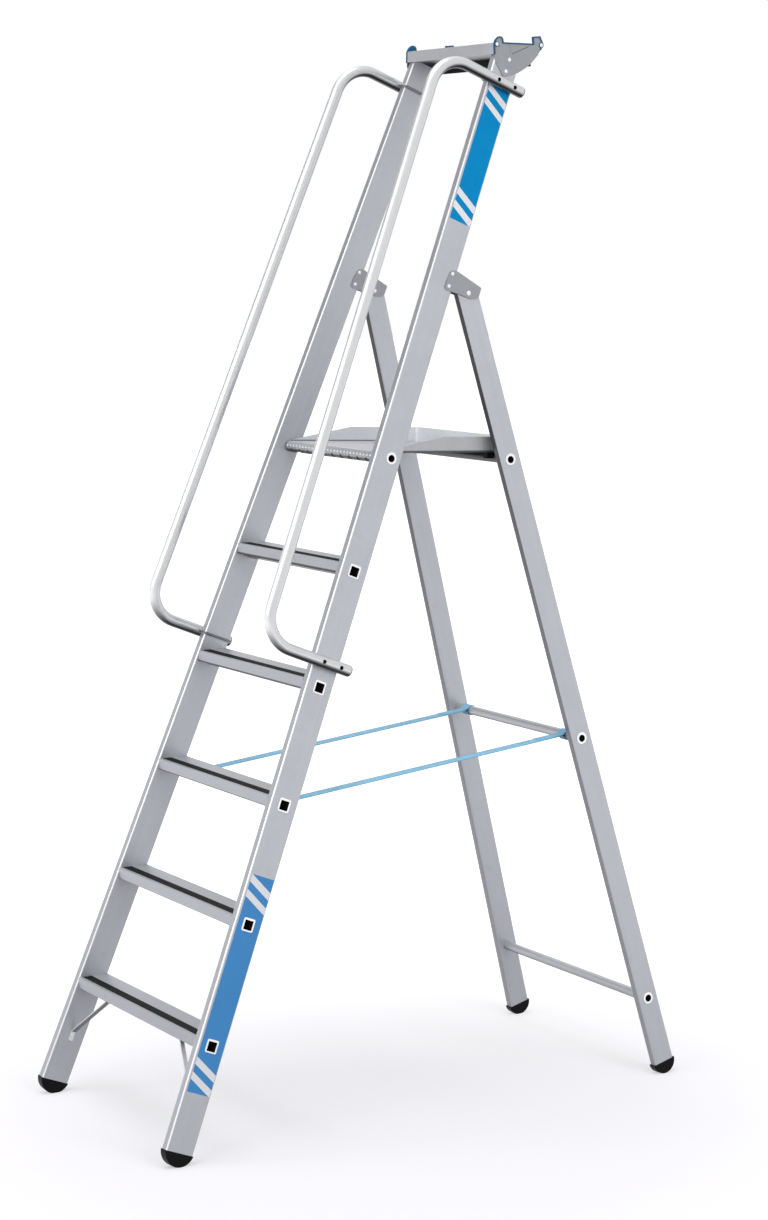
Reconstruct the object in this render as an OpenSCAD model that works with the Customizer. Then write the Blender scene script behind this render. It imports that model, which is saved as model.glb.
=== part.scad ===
// Folding platform ladder: five steps, a standing deck, two handrails and a tool tray.
// The front is -Y, the climber's right hand is +X and the floor is Z = 0.
// Heights marked "up the stile" run along the leaning front frame, from the floor.

/* [Stance] */
// Lean of the front stiles from the vertical, degrees
stile_lean = 21.5; // [18:0.1:25]
// Lean of the rear legs from the vertical, degrees
leg_lean = 15.2; // [13:0.1:18]
// Inward tilt of each front stile, degrees
stile_tilt = 3.06; // [2.5:0.02:3.6]
// Inward tilt of each rear leg, degrees
leg_tilt = 3; // [2.5:0.02:3.6]
// Outside width of the front frame at the floor
front_width = 605; // [560:1:680]
// Height of the tray's floor above the ground
tray_base = 2242; // [2150:1:2400]

/* [Stiles and legs] */
// Depth of a stile's section, front to back
stile_depth = 64; // [58:1:72]
// Width of a stile's section
stile_width = 20; // [19.8:0.1:26]
// Depth of a leg's section, front to back
leg_depth = 51; // [44:1:54]
// Width of a leg's section
leg_width = 18; // [15:0.1:18.2]
// Wall of the stiles and legs
tube_wall = 2; // [1.5:0.1:3]
// Outer corner radius of the stiles and legs
tube_corner = 3.5; // [3:0.1:5]
// Distance of the stiles' square-cut tops below the tray's floor, up the stile
stile_short = 5.7; // [2.7:0.1:8.7]
// Length of stile cut away above the floor for the foot, up the stile
stile_cut = 30; // [24:1:34]
// Length of leg cut away above the floor for the foot, up the leg
leg_cut = 27; // [22:1:30]

/* [Feet] */
// Radius of a front foot's rocker sole
front_sole_r = 33.5; // [33:0.5:38]
// Radius of a rear foot's rocker sole
rear_sole_r = 28; // [27:0.5:32]
// Depth of the flat worn into each sole
sole_flat = 0.5; // [0.3:0.1:1]
// Length of a foot's plug inside its tube
foot_plug = 35; // [20:1:50]
// Overhang of a foot beyond its tube's sides
foot_rim = 0.5; // [0.2:0.1:1]

/* [Steps] */
// Height of the first step's spigot, up the stile
first_step = 247; // [220:1:280]
// Distance between steps, up the stile
step_pitch = 250; // [230:1:280]
// Side of a step's square spigot tube
spigot_size = 23; // [20:0.5:26]
// Wall of the spigot tube
spigot_wall = 1.6; // [1.2:0.1:2.4]
// Side of the flared rim outside the stile
rim_size = 27; // [26.5:0.5:32]
// Height of the tread's top above the spigot's centre
tread_rise = 20; // [19:0.5:24]
// Reach of the tread in front of the spigot's centre
tread_front = 27; // [22:0.5:30]
// Reach of the tread behind the spigot's centre
tread_back = 40; // [32:0.5:42]
// Thickness of the tread
tread_thick = 3.4; // [3:0.1:4]
// Height of the tread's front lip
lip_height = 23; // [20:0.5:28]
// Width of the grip strip
grip_width = 22; // [16:0.5:26]
// Setback of the grip strip from the tread's front
grip_setback = 8; // [5:0.5:10]

/* [Step braces] */
// Height of a brace's lower rivet, up the stile
brace_low = 134; // [120:1:150]
// Distance of a brace's upper end from the stile's inner face
brace_reach = 109; // [60:1:120]
// Width of a brace bar
brace_width = 10; // [9:1:20]
// Thickness of a brace bar
brace_thick = 3; // [2:0.5:4]

/* [Cross tubes] */
// Outer radius of the cross tubes
cross_r = 10; // [9:0.25:11]
// Wall of the cross tubes
cross_wall = 2.5; // [2:0.1:3]
// Radius of the flared ring outside the stile or leg
cross_rim_r = 12.5; // [12:0.25:15]
// Thickness of a flared rim
rim_thick = 1.2; // [0.8:0.1:2]
// Height of the low rear tube, up the leg
low_tube = 179; // [140:1:260]
// Height of the middle rear tube, up the leg
mid_tube = 790; // [700:1:880]
// Height of the top rear tube, up the leg
top_tube = 1425.5; // [1423:0.5:1428]
// Setback of the platform tube behind the stile's centre line
deck_tube_back = 7.4; // [4:0.1:10]

/* [Hinges] */
// Height of the fold pivot, up the stile
pivot_rise = 1890.5; // [1887:0.5:1894]
// Setback of the fold pivot behind the stile's centre line
pivot_back = 73.3; // [66:0.1:80]
// Thickness of a hinge plate
hinge_thick = 2; // [1.5:0.1:3]
// Length of a hinge plate, front to back
hinge_length = 89; // [84:1:100]
// Height of a hinge plate
hinge_height = 47; // [44:1:54]
// Radius of a pivot pin
pin_r = 4; // [3:0.25:5]

/* [Platform] */
// Thickness of the platform sheet
deck_thick = 2.2; // [1.6:0.1:2.8]
// Height of the side cheeks above the platform's underside
cheek_height = 33.7; // [24:0.5:40]
// Distance behind the front tube over which the cheeks rise
cheek_ramp = 150; // [80:1:200]
// Height of a cheek's front end
cheek_nose = 4.5; // [4:0.5:12]
// Room between the platform and each stile
deck_side_gap = 3; // [2:0.1:6]
// Pitch of the knuckles along the rolled front edge
knuckle_pitch = 35; // [24:1:50]
// Width of the gap between two knuckles
knuckle_gap = 9; // [5:0.5:14]
// Thickness of a hook's seat on the rear tube
hook_seat = 3.2; // [2:0.1:4]
// Width of a hook block
hook_width = 14; // [12:1:24]

/* [Handrails] */
// Outer radius of a handrail
rail_r = 12.5; // [11:0.5:14]
// Wall of a handrail tube
rail_wall = 2; // [1.5:0.1:2.5]
// Height of a rail's lower end, up the stile
rail_low = 1047.7; // [1035:0.1:1060]
// Height of a rail's upper end, up the stile
rail_high = 2339.8; // [2320:0.1:2345]
// Reach of the rail in front of the stile's centre line
rail_reach = 171.3; // [140:0.1:200]
// Centre-line radius of a rail's bends
rail_bend = 70; // [50:1:80]
// Reach of a rail's ends behind the stile's centre line
rail_end = 48; // [44:0.5:60]
// Radius of the screw access holes
access_r = 4.5; // [4.4:0.1:5.5]
// Radius of the clamp rods
clamp_r = 2.75; // [2:0.25:3.5]

/* [Tray] */
// Height of the tray's front panel
tray_front_height = 24; // [18:1:32]
// Thickness of the tray's sheet
tray_thick = 2; // [1.5:0.1:2.5]
// Distance of the front panel ahead of the stiles
tray_overhang = 5.5; // [4:0.5:10]
// Depth of the tray floor, front to back
tray_depth = 117; // [100:1:120]
// Height of the rear panel above the tray floor
tray_back_height = 20; // [14:1:22]
// Drop of the apron below the tray floor
tray_apron = 23.5; // [12:0.5:24]
// Distance of the apron behind the front panel
tray_apron_back = 94; // [80:1:97]
// Depth of a tray side plate, front to back
tray_side_depth = 130; // [127:1:140]
// Height of a tray side plate
tray_side_height = 90; // [84:1:96]
// Drop of a side plate below the tray floor
tray_side_drop = 49; // [44:1:52]
// Width of the edge trim
trim_width = 3; // [2.5:0.5:5]

/* [Straps] */
// Width of a spreader strap
strap_width = 26; // [18:1:32]
// Thickness of a spreader strap, two layers sewn together
strap_thick = 3; // [2:0.5:4]
// Distance of a strap's middle from the stile's inner face
strap_inset = 48.5; // [28:0.5:62]

/* [Hidden] */
$fn = 64;

// Overrun of every cut
over = 1;
// Size of a block that is larger than the ladder
beyond = 6000;
// Room round a spigot, a cross tube or a rivet in its hole
seat_gap = 0.05;
// Running room of a turning fit, on the radius
turn_gap = 0.06;
// Room between parts that fold against each other
fold_gap = 0.3;
left = -1;
right = 1;
sides = [left, right];
step_count = 5;
strap_step = (step_count + 1) / 2;
rivet_r = 2.4;
rivet_head_r = 4.2;
rivet_head = 1.6;
rivet_grip = 4;
aluminium = [0.76, 0.77, 0.79];
worn_sheet = [0.60, 0.61, 0.62];
black_plastic = [0.07, 0.07, 0.07];
grey_plastic = [0.55, 0.56, 0.57];
bright_steel = [0.82, 0.83, 0.84];
blue_plastic = [0.10, 0.36, 0.62];
blue_web = [0.48, 0.72, 0.88];

// Places on the leaning front frame
function step_up(i) = first_step + (i - 1) * step_pitch;
function stile_half(s) = front_width / 2 - stile_width / 2 / cos(stile_tilt) - s * tan(stile_tilt);
function front_y(s, o) = s * sin(stile_lean) + o * cos(stile_lean);
function front_z(s, o) = s * cos(stile_lean) - o * sin(stile_lean);
deck_tube_up = step_up(step_count + 1);
stile_outer = stile_width / 2;
stile_back = stile_depth / 2;

// Places on the leaning rear frame
pivot_y = front_y(pivot_rise, pivot_back);
pivot_z = front_z(pivot_rise, pivot_back);
leg_reach = pivot_z / cos(leg_lean);
function leg_drop(up) = leg_reach - up;
function leg_half(up) = stile_half(pivot_rise) + leg_drop(up) * tan(leg_tilt);
function rear_y(up) = pivot_y + leg_drop(up) * sin(leg_lean);
function rear_z(up) = pivot_z - leg_drop(up) * cos(leg_lean);

// The soles touch the floor, and the ladder's middle is halfway between their outer edges
front_sole_up = (front_sole_r - sole_flat) / cos(stile_lean);
rear_sole_up = (rear_sole_r - sole_flat) / cos(leg_lean);
base_front = front_sole_up * sin(stile_lean) - front_sole_r;
base_back = rear_y(rear_sole_up) + rear_sole_r;
base_middle = (base_front + base_back) / 2;

// The platform turns on its front tube and its hooks sit on the top rear tube
curl_r = cross_r + turn_gap;
deck_top = curl_r + deck_thick;
deck_pin_y = front_y(deck_tube_up, deck_tube_back);
deck_pin_z = front_z(deck_tube_up, deck_tube_back);
hook_span = norm([rear_y(top_tube) - deck_pin_y, rear_z(top_tube) - deck_pin_z]);
hook_angle = atan2(rear_z(top_tube) - deck_pin_z, rear_y(top_tube) - deck_pin_y);
hook_z = curl_r - hook_seat - fold_gap - cross_r;
deck_slope = asin(hook_z / hook_span) - hook_angle;
hook_y = hook_span * cos(hook_angle + deck_slope);
hook_lip = 4;
hook_front = 18;
hook_mouth = 16.5;
hook_drop = 12;
curl_lip_share = 0.75;
deck_length = hook_y + cross_r + fold_gap + hook_lip;
deck_half_front = stile_half(deck_tube_up) - stile_outer / cos(stile_tilt) - deck_side_gap;
function deck_half(y) = deck_half_front - y * tan(stile_tilt);
knuckles = floor(2 * deck_half_front / knuckle_pitch);

// The tray rests on the cut tops of the stiles
tray_up = tray_base / cos(stile_lean);
stile_end = tray_up - stile_short;
tray_mid_y = front_y(tray_up, 0);
tray_corner_up = (tray_base - stile_back * sin(stile_lean)) / cos(stile_lean);
tray_front_y = front_y(tray_corner_up, -stile_back) - tray_overhang;
tray_side_front = tray_front_y - tray_thick / 2 - tray_mid_y;
trim_wall = 1.5;
trim_joint_share = 0.54;
tray_rivet_back = 3.4;
tray_rivet_drops = [11.3, 38.3];
// Upper edge of a tray side plate, from the front edge round both horns, as shares of its depth and height
tray_edge_shares = [
    [0.008, 0.54], [0.008, 0.79], [0.035, 0.87], [0.08, 0.93], [0.115, 0.945], [0.15, 0.935], [0.172, 0.895],
    [0.182, 0.805], [0.8, 0.805], [0.79, 0.97], [0.93, 0.99], [0.985, 0.815], [0.94, 0.69]
];
// The rest of its outline, beyond the rear arc and up the front edge
tray_low_shares = [
    [1.05, 0.55], [0.75, -0.05], [0.2, -0.05], [0.16, 0.04], [0.075, 0.24], [0.03, 0.35], [0.01, 0.44]
];
// Centre, as shares of depth and height, and radius, as a share of depth, of the rear arc
tray_arc_share = [0.05, 1.537];
tray_arc_r_share = 1.073;
// Covers of the edge trim inside the two horns
tray_ear_shares = [
    [[0, 0.7], [0, 0.795], [0.029, 0.879], [0.077, 0.94], [0.115, 0.956], [0.154, 0.945], [0.18, 0.9],
        [0.192, 0.81], [0.192, 0.7]],
    [[0.792, 0.7], [0.792, 0.81], [0.782, 0.98], [0.933, 1.001], [0.993, 0.817], [0.95, 0.7]]
];
// Rivets of the edge trim, as shares of the plate's depth and height
trim_rivet_shares = [[0.058, 0.77], [0.955, 0.79]];

// Outline of a hinge plate, as shares of its length and height, from its lower front corner
hinge_shares = [
    [0.01, 0.085], [0, 0.17], [0.005, 0.45], [0.035, 0.77], [0.075, 0.925], [0.145, 1], [0.235, 1],
    [0.965, 0.775], [0.99, 0.75], [1, 0.7], [1, 0.36], [0.98, 0.26], [0.935, 0.18], [0.86, 0.125],
    [0.775, 0.085], [0.44, 0.065], [0.1, 0], [0.045, 0.02]
];
hinge_front = 11;
hinge_low = 14;
hinge_rivet_back = 21;
hinge_rivet_ups = [-4, 24];
pin_head_r = 5.4;
pin_head = 2.4;

grip_base = 1.4;
grip_rib = 0.8;
grip_ribs = 6;
// Corners of one rib, as shares of the rib pitch and the rib height
rib_shares = [[0.85, 0], [0.65, 1], [0.3, 1], [0.1, 0]];
grip_end_gap = 3;
lip_thick = 2.6;
web_thick = 2;
back_lip = 8;
brace_end = 13;
brace_bend = 7;
strap_rivet_rise = 3;
strap_side = stile_half(step_up(strap_step)) - stile_outer / cos(stile_tilt) - strap_inset;
rail_hole_backs = [-20.5, 23];
rail_seat = 0.1;
plug_head = 2.5;
plug_depth = 18;
screw_r = 3;
screw_head_r = 4.2;
screw_head = 3.4;
screw_rise = 1.1;
clamp_bend = 5;

// Moves the ladder so that its middle stands over the origin
module stand() {
    translate([0, -base_middle, 0])
        children();
}

// The front frame's plane: X across, Y through the stiles, Z up the stile
module in_front() {
    stand()
        rotate([-stile_lean, 0, 0])
            children();
}

// The rear frame's plane, with its origin on the floor
module in_rear() {
    stand()
        translate([0, rear_y(0), rear_z(0)])
            rotate([leg_lean, 0, 0])
                children();
}

// The platform's own frame, with its origin on the front tube's axis
module in_deck() {
    stand()
        translate([0, deck_pin_y, deck_pin_z])
            rotate([-deck_slope, 0, 0])
                children();
}

// Draws a right-hand shape, or its mirror image on the left
module on_side(side) {
    mirror([side == left ? 1 : 0, 0, 0])
        children();
}

// A stile's own frame at a height up the stile: X outward, Y back, Z along the stile
module on_stile(side, up) {
    on_side(side)
        in_front()
            translate([stile_half(up), 0, up])
                rotate([0, -stile_tilt, 0])
                    children();
}

// A leg's own frame at a height up the leg
module on_leg(side, up) {
    on_side(side)
        in_rear()
            translate([leg_half(up), 0, up])
                rotate([0, -leg_tilt, 0])
                    children();
}

// Extrudes a drawing of Y and Z along X, half to each side
module across(width) {
    rotate([90, 0, 90])
        linear_extrude(width, center = true)
            children();
}

// Extrudes a drawing of Y and Z along +X
module outward(thick) {
    rotate([90, 0, 90])
        linear_extrude(thick)
            children();
}

// A round bar along X, half to each side
module bar(r, width) {
    rotate([0, 90, 0])
        cylinder(r = r, h = width, center = true);
}

module round_rect(size, r) {
    square([size.x - 2 * r, size.y], center = true);
    square([size.x, size.y - 2 * r], center = true);
    for (x = [-1, 1], y = [-1, 1])
        translate([x * (size.x / 2 - r), y * (size.y / 2 - r)])
            circle(r);
}

// A band of even width along a path, with round joints
module strip(points, width, joint_share = 0.5) {
    for (i = [0 : len(points) - 2]) {
        run = points[i + 1] - points[i];
        translate(points[i])
            rotate(atan2(run.y, run.x))
                translate([0, -width / 2])
                    square([norm(run), width]);
    }
    for (p = points)
        translate(p)
            circle(width * joint_share);
}

// The space between two planes that converge upward, as the stiles and the legs do
module converging(half_low, half_high, low, high) {
    rotate([90, 0, 0])
        linear_extrude(beyond, center = true)
            polygon([[-half_low, low], [half_low, low], [half_high, high], [-half_high, high]]);
}

// The space between the stiles, out to a distance from their centre planes
module between_stiles(reach, up) {
    side_reach = reach / cos(stile_tilt);
    converging(stile_half(up - step_pitch) + side_reach, stile_half(up + step_pitch) + side_reach,
        up - step_pitch, up + step_pitch);
}

module between_legs(reach, up) {
    side_reach = reach / cos(leg_tilt);
    converging(leg_half(up - step_pitch) + side_reach, leg_half(up + step_pitch) + side_reach,
        up - step_pitch, up + step_pitch);
}

// A domed rivet along +X, with its head's seat at the origin and its shank behind
module rivet(grip) {
    rotate([0, 90, 0]) {
        cylinder(r1 = rivet_head_r, r2 = rivet_head_r / 2, h = rivet_head);
        translate([0, 0, -grip])
            cylinder(r = rivet_r, h = grip);
    }
}

module rivet_hole(r) {
    bar(r + seat_gap, stile_depth);
}

// A closed tube section of a stile or leg
module tube_section(width, depth) {
    difference() {
        round_rect([width, depth], tube_corner);
        round_rect([width - 2 * tube_wall, depth - 2 * tube_wall], tube_corner - tube_wall);
    }
}

// Places on a stile's outer face where the tray's side plate is riveted
module at_tray_rivets() {
    for (drop = tray_rivet_drops)
        translate([0, tray_rivet_back, -drop])
            children();
}

module stile(side) {
    color(aluminium)
        difference() {
            on_stile(side, stile_cut)
                linear_extrude((stile_end - stile_cut) / cos(stile_tilt))
                    tube_section(stile_width, stile_depth);
            stand()
                translate([-beyond / 2, -beyond / 2, tray_base])
                    cube(beyond);
            for (i = [1 : step_count])
                in_front()
                    translate([0, 0, step_up(i)])
                        cube([beyond, spigot_size + 2 * seat_gap, spigot_size + 2 * seat_gap], center = true);
            in_front()
                translate([0, deck_tube_back, deck_tube_up])
                    bar(cross_r + seat_gap, beyond);
            for (up = hinge_rivet_ups)
                on_stile(side, pivot_rise + up)
                    translate([0, hinge_rivet_back, 0])
                        rivet_hole(rivet_r);
            on_stile(side, tray_up)
                translate([stile_outer, 0, 0])
                    at_tray_rivets()
                        bar(rivet_r + seat_gap, 2 * rivet_grip);
            for (up = [rail_low, rail_high], back = rail_hole_backs)
                on_stile(side, up)
                    translate([stile_outer, back, 0])
                        bar(screw_r + seat_gap, 2 * rivet_grip);
            on_stile(side, brace_low)
                translate([-stile_outer, 0, 0])
                    bar(rivet_r + seat_gap, 2 * rivet_grip);
        }
}

// Section of a tread, drawn level about the spigot's centre
module tread_section() {
    difference() {
        union() {
            translate([-tread_front, tread_rise - tread_thick])
                square([tread_front + tread_back, tread_thick]);
            translate([-tread_front, tread_rise - lip_height])
                square([lip_thick, lip_height]);
            translate([-tread_front, tread_rise - lip_height])
                square([tread_front - spigot_size / 4, web_thick]);
            translate([spigot_size / 4, 0])
                square([web_thick, tread_rise - tread_thick / 2]);
            translate([tread_back - web_thick, tread_rise - back_lip])
                square([web_thick, back_lip]);
        }
        translate([-tread_front + grip_setback, tread_rise - grip_base])
            square([grip_width, grip_base + over]);
    }
}

module step(i) {
    up = step_up(i);
    bore = spigot_size - 2 * spigot_wall;
    color(aluminium)
        difference() {
            union() {
                in_front()
                    intersection() {
                        translate([0, 0, up])
                            rotate([stile_lean, 0, 0])
                                across(front_width)
                                    tread_section();
                        between_stiles(-stile_outer, up);
                    }
                in_front()
                    intersection() {
                        translate([0, 0, up])
                            cube([front_width * 2, spigot_size, spigot_size], center = true);
                        between_stiles(stile_outer + rim_thick / 2, up);
                    }
                for (side = sides)
                    on_stile(side, up)
                        translate([stile_outer, 0, 0])
                            outward(rim_thick)
                                round_rect([rim_size, rim_size], tube_corner);
            }
            in_front()
                translate([0, 0, up])
                    cube([beyond, bore, bore], center = true);
            if (i == 1)
                for (side = sides)
                    on_side(side)
                        in_front()
                            translate([brace_top_x(), 0, up - spigot_size / 2])
                                cylinder(r = rivet_r + seat_gap, h = 2 * rivet_grip, center = true);
            if (i == strap_step)
                for (side = sides)
                    at_strap_rivet(side)
                        cylinder(r = rivet_r + seat_gap, h = 2 * rivet_grip, center = true);
        }
}

// Ribbed grip strip, drawn level about the spigot's centre
module grip_section() {
    base_width = grip_width - 2 * fold_gap;
    rib_pitch = base_width / grip_ribs;
    ribs = [
        for (i = [grip_ribs - 1 : -1 : 0], p = rib_shares)
            [(i + p.x) * rib_pitch, grip_base + p.y * grip_rib]
    ];
    translate([-tread_front + grip_setback + fold_gap, tread_rise - grip_base])
        polygon(concat([[0, 0], [base_width, 0], [base_width, grip_base]], ribs, [[0, grip_base]]));
}

module grip(i) {
    color(black_plastic)
        in_front()
            intersection() {
                translate([0, 0, step_up(i)])
                    rotate([stile_lean, 0, 0])
                        across(front_width)
                            grip_section();
                between_stiles(-stile_outer - grip_end_gap, step_up(i));
            }
}

// Middle of the tab of a brace under the first step, from the ladder's middle
function brace_top_x() = stile_half(first_step) - stile_outer - brace_reach;

// Flat bar from a stile's inner face to the underside of the first spigot, with a tab at each end
module brace(side) {
    face_low = stile_half(brace_low) - (stile_outer + brace_thick / 2) / cos(stile_tilt);
    lean_in = tan(stile_tilt);
    top_z = step_up(1) - spigot_size / 2 - brace_thick / 2;
    color(aluminium)
        difference() {
            on_side(side)
                in_front()
                    rotate([90, 0, 0])
                        linear_extrude(brace_width, center = true)
                            strip([
                                [face_low + brace_end * lean_in, brace_low - brace_end],
                                [face_low - brace_bend * lean_in, brace_low + brace_bend],
                                [brace_top_x() + brace_bend, top_z],
                                [brace_top_x() - brace_end, top_z]
                            ], brace_thick);
            on_stile(side, brace_low)
                translate([-stile_outer, 0, 0])
                    bar(rivet_r + seat_gap, 4 * brace_thick);
            on_side(side)
                in_front()
                    translate([brace_top_x(), 0, top_z])
                        cylinder(r = rivet_r + seat_gap, h = 4 * brace_thick, center = true);
        }
}

module brace_rivets() {
    color(bright_steel)
        for (side = sides) {
            on_stile(side, brace_low)
                translate([-stile_outer - brace_thick, 0, 0])
                    mirror([1, 0, 0])
                        rivet(brace_thick + tube_wall);
            on_side(side)
                in_front()
                    translate([brace_top_x(), 0, step_up(1) - spigot_size / 2 - brace_thick])
                        rotate([0, 90, 0])
                            rivet(brace_thick + spigot_wall);
        }
}

module platform_tube() {
    color(aluminium)
        difference() {
            union() {
                in_front()
                    intersection() {
                        translate([0, deck_tube_back, deck_tube_up])
                            bar(cross_r, 2 * front_width);
                        between_stiles(stile_outer + rim_thick / 2, deck_tube_up);
                    }
                for (side = sides)
                    on_stile(side, deck_tube_up)
                        translate([stile_outer + rim_thick / 2, deck_tube_back, 0])
                            bar(cross_rim_r, rim_thick);
            }
            in_front()
                translate([0, deck_tube_back, deck_tube_up])
                    bar(cross_r - cross_wall, beyond);
        }
}

// A rocker foot in its tube's frame: plug above, half-round sole below, cut flat at the floor
module foot(width, depth, sole_r, sole_up, cut) {
    plug = 2 * (tube_wall + fold_gap);
    across(width + 2 * foot_rim)
        intersection() {
            translate([0, sole_up])
                circle(sole_r);
            translate([-depth, 0])
                square([2 * depth, cut]);
        }
    translate([0, 0, cut])
        linear_extrude(foot_plug)
            round_rect([width - plug, depth - plug], tube_corner - tube_wall);
}

module above_floor() {
    intersection() {
        children();
        translate([-beyond / 2, -beyond / 2, 0])
            cube(beyond);
    }
}

module front_foot(side) {
    color(black_plastic)
        above_floor()
            on_stile(side, 0)
                foot(stile_width, stile_depth, front_sole_r, front_sole_up, stile_cut);
}

module rear_foot(side) {
    color(black_plastic)
        above_floor()
            on_leg(side, 0)
                foot(leg_width, leg_depth, rear_sole_r, rear_sole_up, leg_cut);
}

// Outline of a hinge plate about the pivot's height on the stile's centre line
module hinge_outline() {
    size = [hinge_length, hinge_height];
    translate([hinge_front, -hinge_low])
        polygon([for (p = hinge_shares) [p.x * size.x, p.y * size.y]]);
}

module hinge_plate(side, face) {
    color(worn_sheet)
        difference() {
            on_stile(side, pivot_rise)
                translate([face, 0, 0])
                    outward(hinge_thick)
                        hinge_outline();
            for (up = hinge_rivet_ups)
                on_stile(side, pivot_rise + up)
                    translate([0, hinge_rivet_back, 0])
                        rivet_hole(rivet_r);
            on_side(side)
                stand()
                    translate([0, pivot_y, pivot_z])
                        bar(pin_r + seat_gap, beyond);
        }
}

module hinge_outer(side) {
    hinge_plate(side, stile_outer);
}

module hinge_inner(side) {
    hinge_plate(side, -stile_outer - hinge_thick);
}

// Long rivets through both hinge plates and the stile, headed at both ends
module hinge_rivets() {
    color(bright_steel)
        for (side = sides, up = hinge_rivet_ups)
            on_stile(side, pivot_rise + up)
                translate([0, hinge_rivet_back, 0])
                    for (face = [0, 1])
                        mirror([face, 0, 0])
                            translate([stile_outer + hinge_thick, 0, 0])
                                rivet(stile_outer + hinge_thick);
}

module pivot_pin(side) {
    reach = stile_outer + hinge_thick;
    color(bright_steel)
        on_stile(side, pivot_rise)
            translate([0, pivot_back, 0]) {
                rotate([0, stile_tilt, 0])
                    bar(pin_r, 2 * reach);
                for (face = [0, 1])
                    mirror([face, 0, 0])
                        translate([reach, 0, 0])
                            rotate([0, 90, 0])
                                cylinder(r1 = pin_head_r, r2 = pin_head_r / 2, h = pin_head);
            }
}

// Bent sheet of the tray: front panel, floor and rear panel, with an apron under the floor
module tray_pan() {
    color(aluminium)
        intersection() {
            stand()
                translate([0, tray_front_y, tray_base])
                    across(front_width) {
                        square([tray_thick, tray_front_height]);
                        square([tray_depth, tray_thick]);
                        translate([tray_depth - tray_thick, 0])
                            square([tray_thick, tray_back_height]);
                        translate([tray_apron_back, -tray_apron])
                            square([tray_thick, tray_apron + tray_thick]);
                        translate([tray_thick, tray_front_height - tray_thick])
                            square([2 * tray_thick, tray_thick]);
                    }
            in_front()
                between_stiles(stile_outer, tray_up);
        }
}

function tray_point(share) = [share.x * tray_side_depth, share.y * tray_side_height];

// Moves a drawing of Y and Z to the tray side plate's place on a stile's face
module tray_side_place() {
    rotate(stile_lean)
        translate([tray_side_front, -tray_side_drop])
            children();
}

module tray_side_outline() {
    intersection() {
        polygon([for (p = concat(tray_edge_shares, tray_low_shares)) tray_point(p)]);
        translate(tray_point(tray_arc_share))
            circle(tray_arc_r_share * tray_side_depth);
    }
}

module tray_trim_holes() {
    for (p = trim_rivet_shares)
        translate(tray_point(p))
            circle(rivet_r + seat_gap);
}

module tray_side(side) {
    color(worn_sheet)
        difference() {
            on_stile(side, tray_up)
                translate([stile_outer, 0, 0])
                    outward(tray_thick)
                        tray_side_place()
                            difference() {
                                tray_side_outline();
                                tray_trim_holes();
                            }
            on_stile(side, tray_up)
                translate([stile_outer, 0, 0])
                    at_tray_rivets()
                        bar(rivet_r + seat_gap, stile_width);
        }
}

// Band along a side plate's upper edge, with a pad under each of its rivets
module tray_trim_outline() {
    strip([for (p = tray_edge_shares) tray_point(p)], trim_width, trim_joint_share);
    for (p = trim_rivet_shares)
        translate(tray_point(p))
            circle(rivet_head_r + trim_wall);
}

// Covers inside the horns, above the tray's panels
module tray_trim_ears() {
    intersection() {
        for (ear = tray_ear_shares)
            polygon([for (p = ear) tray_point(p)]);
        translate([0, tray_side_drop + max(tray_front_height, tray_back_height) + fold_gap])
            square([tray_side_depth, tray_side_height]);
    }
}

// Edge trim that grips the upper edge of a side plate
module tray_trim(side) {
    color(blue_plastic)
        difference() {
            on_stile(side, tray_up)
                translate([stile_outer, 0, 0]) {
                    outward(tray_thick + trim_wall)
                        tray_side_place()
                            difference() {
                                tray_trim_outline();
                                tray_trim_holes();
                            }
                    translate([-trim_wall, 0, 0])
                        outward(trim_wall + tray_thick / 2)
                            tray_side_place()
                                tray_trim_ears();
                }
            on_stile(side, tray_up)
                translate([stile_outer, 0, 0])
                    outward(tray_thick)
                        tray_side_place()
                            tray_side_outline();
        }
}

module tray_rivets() {
    color(bright_steel)
        for (side = sides)
            on_stile(side, tray_up)
                translate([stile_outer + tray_thick, 0, 0]) {
                    at_tray_rivets()
                        rivet(tray_thick + tube_wall);
                    for (p = trim_rivet_shares)
                        rotate([stile_lean, 0, 0])
                            translate([trim_wall, tray_point(p).x + tray_side_front,
                                tray_point(p).y - tray_side_drop])
                                rivet(tray_thick + trim_wall);
                }
}

// The bent rail as a solid bar of a radius, drawn as Y and Z with its lower end at the origin
module rail_path(r) {
    rise = (rail_high - rail_low) / cos(stile_tilt);
    corner = -rail_reach + rail_bend;
    run = rail_end - corner;
    rotate([90, 0, 90]) {
        for (end = [0, rise])
            translate([corner, end, 0])
                rotate([0, 90, 0])
                    cylinder(r = r, h = run);
        translate([-rail_reach, rail_bend, 0])
            rotate([-90, 0, 0])
                cylinder(r = r, h = rise - 2 * rail_bend);
        translate([corner, rail_bend, 0])
            rotate(180)
                rotate_extrude(angle = 90)
                    translate([rail_bend, 0])
                        circle(r);
        translate([corner, rise - rail_bend, 0])
            rotate(90)
                rotate_extrude(angle = 90)
                    translate([rail_bend, 0])
                        circle(r);
    }
}

// Both ends of a rail, in the stile's frame with X = 0 on the rail's axis
module at_rail_ends(side) {
    for (up = [rail_low, rail_high])
        on_stile(side, up)
            translate([stile_outer + rail_seat + rail_r, 0, 0])
                children();
}

module handrail(side) {
    color(bright_steel)
        difference() {
            on_stile(side, rail_low)
                translate([stile_outer + rail_seat + rail_r, 0, 0])
                    difference() {
                        rail_path(rail_r);
                        rail_path(rail_r - rail_wall);
                    }
            at_rail_ends(side)
                for (back = rail_hole_backs)
                    translate([0, back, 0]) {
                        rotate([0, 90, 0])
                            cylinder(r = access_r, h = 2 * rail_r);
                        rotate([0, -90, 0])
                            cylinder(r = screw_r + seat_gap, h = 2 * rail_r);
                    }
        }
}

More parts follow.
